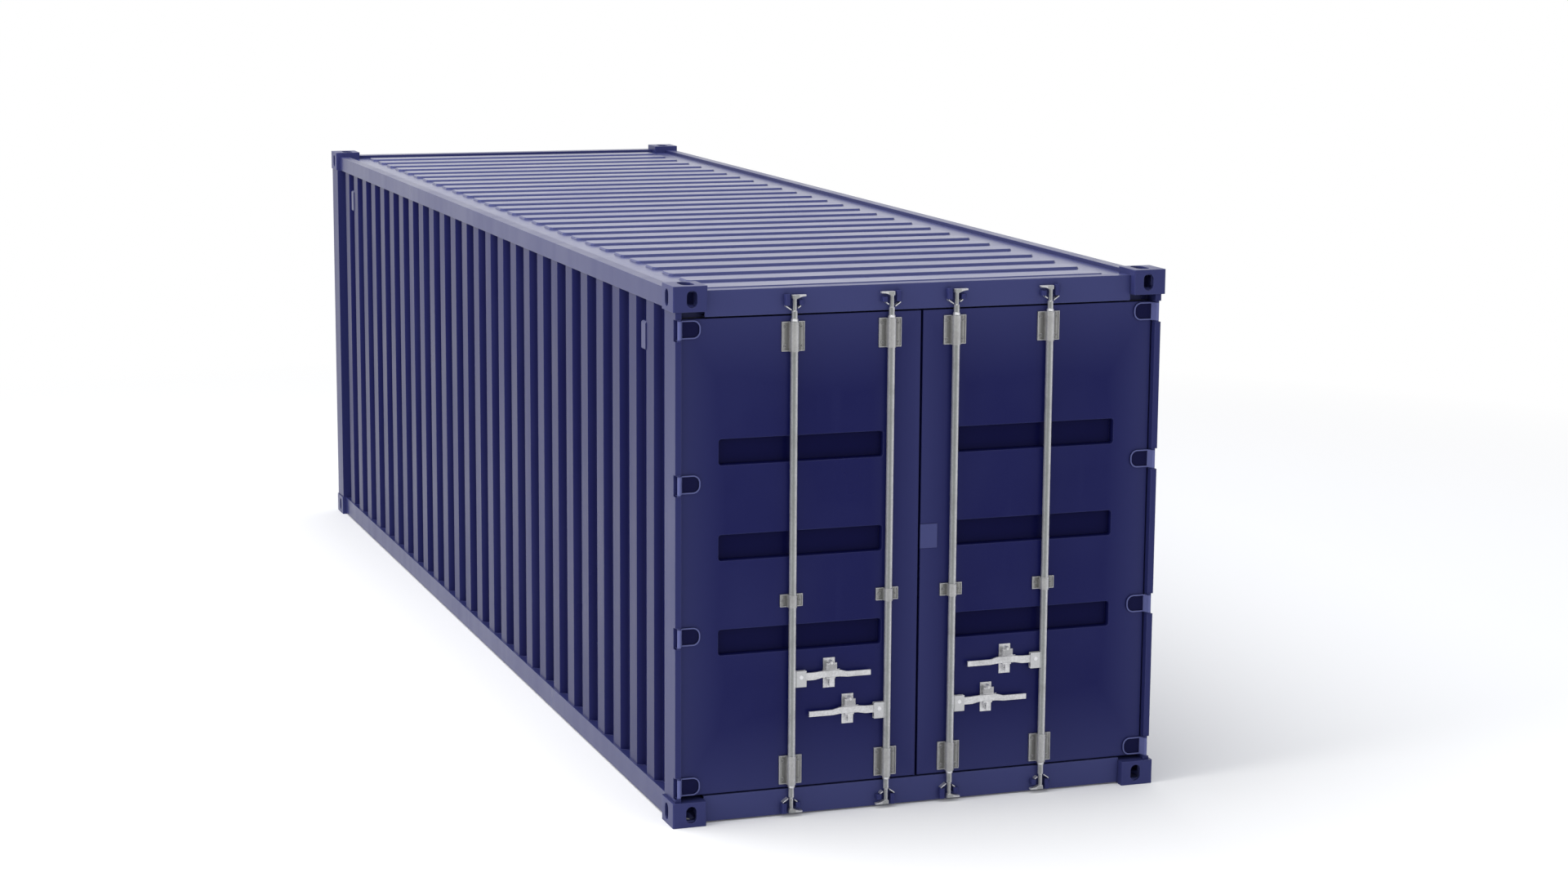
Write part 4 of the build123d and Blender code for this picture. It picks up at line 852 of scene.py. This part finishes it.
def bolt_places(side):
    places = []
    for rod in ROD_X:
        for across in (-BOLT_ASIDE, BOLT_ASIDE):
            x = side * (rod + across)
            places.append((x, WING_Y, GUIDE_Z))
            for z in TALL_BRACKET_Z:
                places.append((x, WING_Y, z - BOLT_ABOVE))
                places.append((x, WING_Y, z + BOLT_ABOVE))
    return places


BOLT_TREE = bolt_tree()
for name, side in (("left", -1), ("right", 1)):
    bolts, door = f"bracket_bolts_{name}", f"door_{name}"
    grow(bolts, bolt_places(side), [], BOLT_TREE, BOLT_HEAD, BOLT_ZINC, door)

# The floor screws: zinc-plated steel screws with low flat heads, in a row through the boards over
# every channel. The heads stand less than a millimetre out of the wood.
SCREW_HEAD = {"Head radius": 0.0055, "Head height": 0.0008}
SCREW_SIDES = 10
CHANNEL_COUNT = 25
CHANNEL_FIRST_Y = -3.7025
CHANNEL_PITCH = 0.310375
SCREW_ROWS = 8
SCREW_FIRST_X = 0.060
SCREW_PITCH_X = 0.148
FLOOR_TOP = 0.165


def screw_tree():
    tree, enter, leave = geometry_tree("floor_screws", *SCREW_HEAD)
    sizes = enter.outputs
    head = disc(tree, sizes["Head radius"], sizes["Head height"], 0.0, SCREW_SIDES)
    close_tree(tree, enter, leave, copies(tree, enter, head))
    return tree


screw_places = [
    (side * (SCREW_FIRST_X + row * SCREW_PITCH_X), CHANNEL_FIRST_Y + i * CHANNEL_PITCH, FLOOR_TOP)
    for i in range(CHANNEL_COUNT)
    for row in range(SCREW_ROWS)
    for side in (-1, 1)
]
grow("floor_screws", screw_places, [], screw_tree(), SCREW_HEAD, BOLT_ZINC, "container")

# The weld seams: thin rippled beads where the corrugated sheets meet the rails, painted over with
# them.
SEAM = {"Bead radius": 0.0028, "Ripple": 0.0009, "Step": 0.012}
BEAD_SIDES = 6
RIPPLE_SCALE = 60.0
CREST_LENGTH = 0.118
SLOPE_LENGTH = 0.024
CREST_PITCH = 0.283
CREST_COUNT = 26
CREST_FIRST_Y = -3.5575
WALL_HALF = 3.7845
RAIL_TOP = 0.118
RAIL_UNDERSIDE = 2.397
END_CREST_LENGTH = 0.110
END_SLOPE_LENGTH = 0.018
END_PITCH = 0.250
END_COUNT = 8
END_HALF = 1.143
KERB_TOP = 0.155


def seam_tree():
    tree, enter, leave = geometry_tree("weld_seam", *SEAM)
    nodes, links = tree.nodes, tree.links
    path = nodes.new("GeometryNodeMeshToCurve")
    links.new(enter.outputs["Places"], path.inputs["Mesh"])
    steps = nodes.new("GeometryNodeResampleCurve")
    steps.mode = "LENGTH"
    links.new(path.outputs[0], steps.inputs["Curve"])
    links.new(enter.outputs["Step"], steps.inputs["Length"])
    round_section = nodes.new("GeometryNodeCurvePrimitiveCircle")
    round_section.inputs["Resolution"].default_value = BEAD_SIDES
    links.new(enter.outputs["Bead radius"], round_section.inputs["Radius"])
    bead = nodes.new("GeometryNodeCurveToMesh")
    bead.inputs["Fill Caps"].default_value = True
    links.new(steps.outputs[0], bead.inputs["Curve"])
    links.new(round_section.outputs[0], bead.inputs["Profile Curve"])
    noise = nodes.new("ShaderNodeTexNoise")
    noise.inputs["Scale"].default_value = RIPPLE_SCALE
    normal = nodes.new("GeometryNodeInputNormal")
    swell = combine(tree, "SUBTRACT", noise.outputs["Fac"], 0.5)
    swell = combine(tree, "MULTIPLY", swell, enter.outputs["Ripple"])
    push = nodes.new("ShaderNodeVectorMath")
    push.operation = "SCALE"
    links.new(normal.outputs[0], push.inputs[0])
    links.new(swell, push.inputs["Scale"])
    shift = nodes.new("GeometryNodeSetPosition")
    links.new(bead.outputs[0], shift.inputs["Geometry"])
    links.new(push.outputs[0], shift.inputs["Offset"])
    close_tree(tree, enter, leave, shift.outputs["Geometry"])
    return tree


def corrugated(half, first, crest, slope, pitch, count, low, high):
    """The path of a corrugated sheet: pairs of the distance along it and out of it."""
    path = [(-half, low)]
    for i in range(count):
        at = first + i * pitch
        path += [(at - slope, low), (at, high), (at + crest, high), (at + crest + slope, low)]
    return path + [(half, low)]


def chain(paths):
    """Points and edges of several open paths."""
    points, edges = [], []
    for path in paths:
        first = len(points)
        points += path
        edges += [(first + i, first + i + 1) for i in range(len(path) - 1)]
    return points, edges


SIDE_PATH = corrugated(
    half=WALL_HALF,
    first=CREST_FIRST_Y,
    crest=CREST_LENGTH,
    slope=SLOPE_LENGTH,
    pitch=CREST_PITCH,
    count=CREST_COUNT,
    low=SIDE_TROUGH_X,
    high=SIDE_CREST_X,
)
END_PATH = corrugated(
    half=END_HALF,
    first=-((END_COUNT - 1) * END_PITCH + END_CREST_LENGTH) / 2,
    crest=END_CREST_LENGTH,
    slope=END_SLOPE_LENGTH,
    pitch=END_PITCH,
    count=END_COUNT,
    low=END_TROUGH_Y,
    high=END_CREST_Y,
)
SEAM_TREE = seam_tree()
for name, side in (("left", -1), ("right", 1)):
    lines = [[(side * out, along, z) for along, out in SIDE_PATH] for z in (RAIL_TOP, RAIL_UNDERSIDE)]
    points, edges = chain(lines)
    grow(f"side_wall_seams_{name}", points, edges, SEAM_TREE, SEAM, POST_STEEL, "container")
points, edges = chain([[(along, out, z) for along, out in END_PATH] for z in (KERB_TOP, RAIL_UNDERSIDE)])
grow("end_wall_seams", points, edges, SEAM_TREE, SEAM, POST_STEEL, "container")
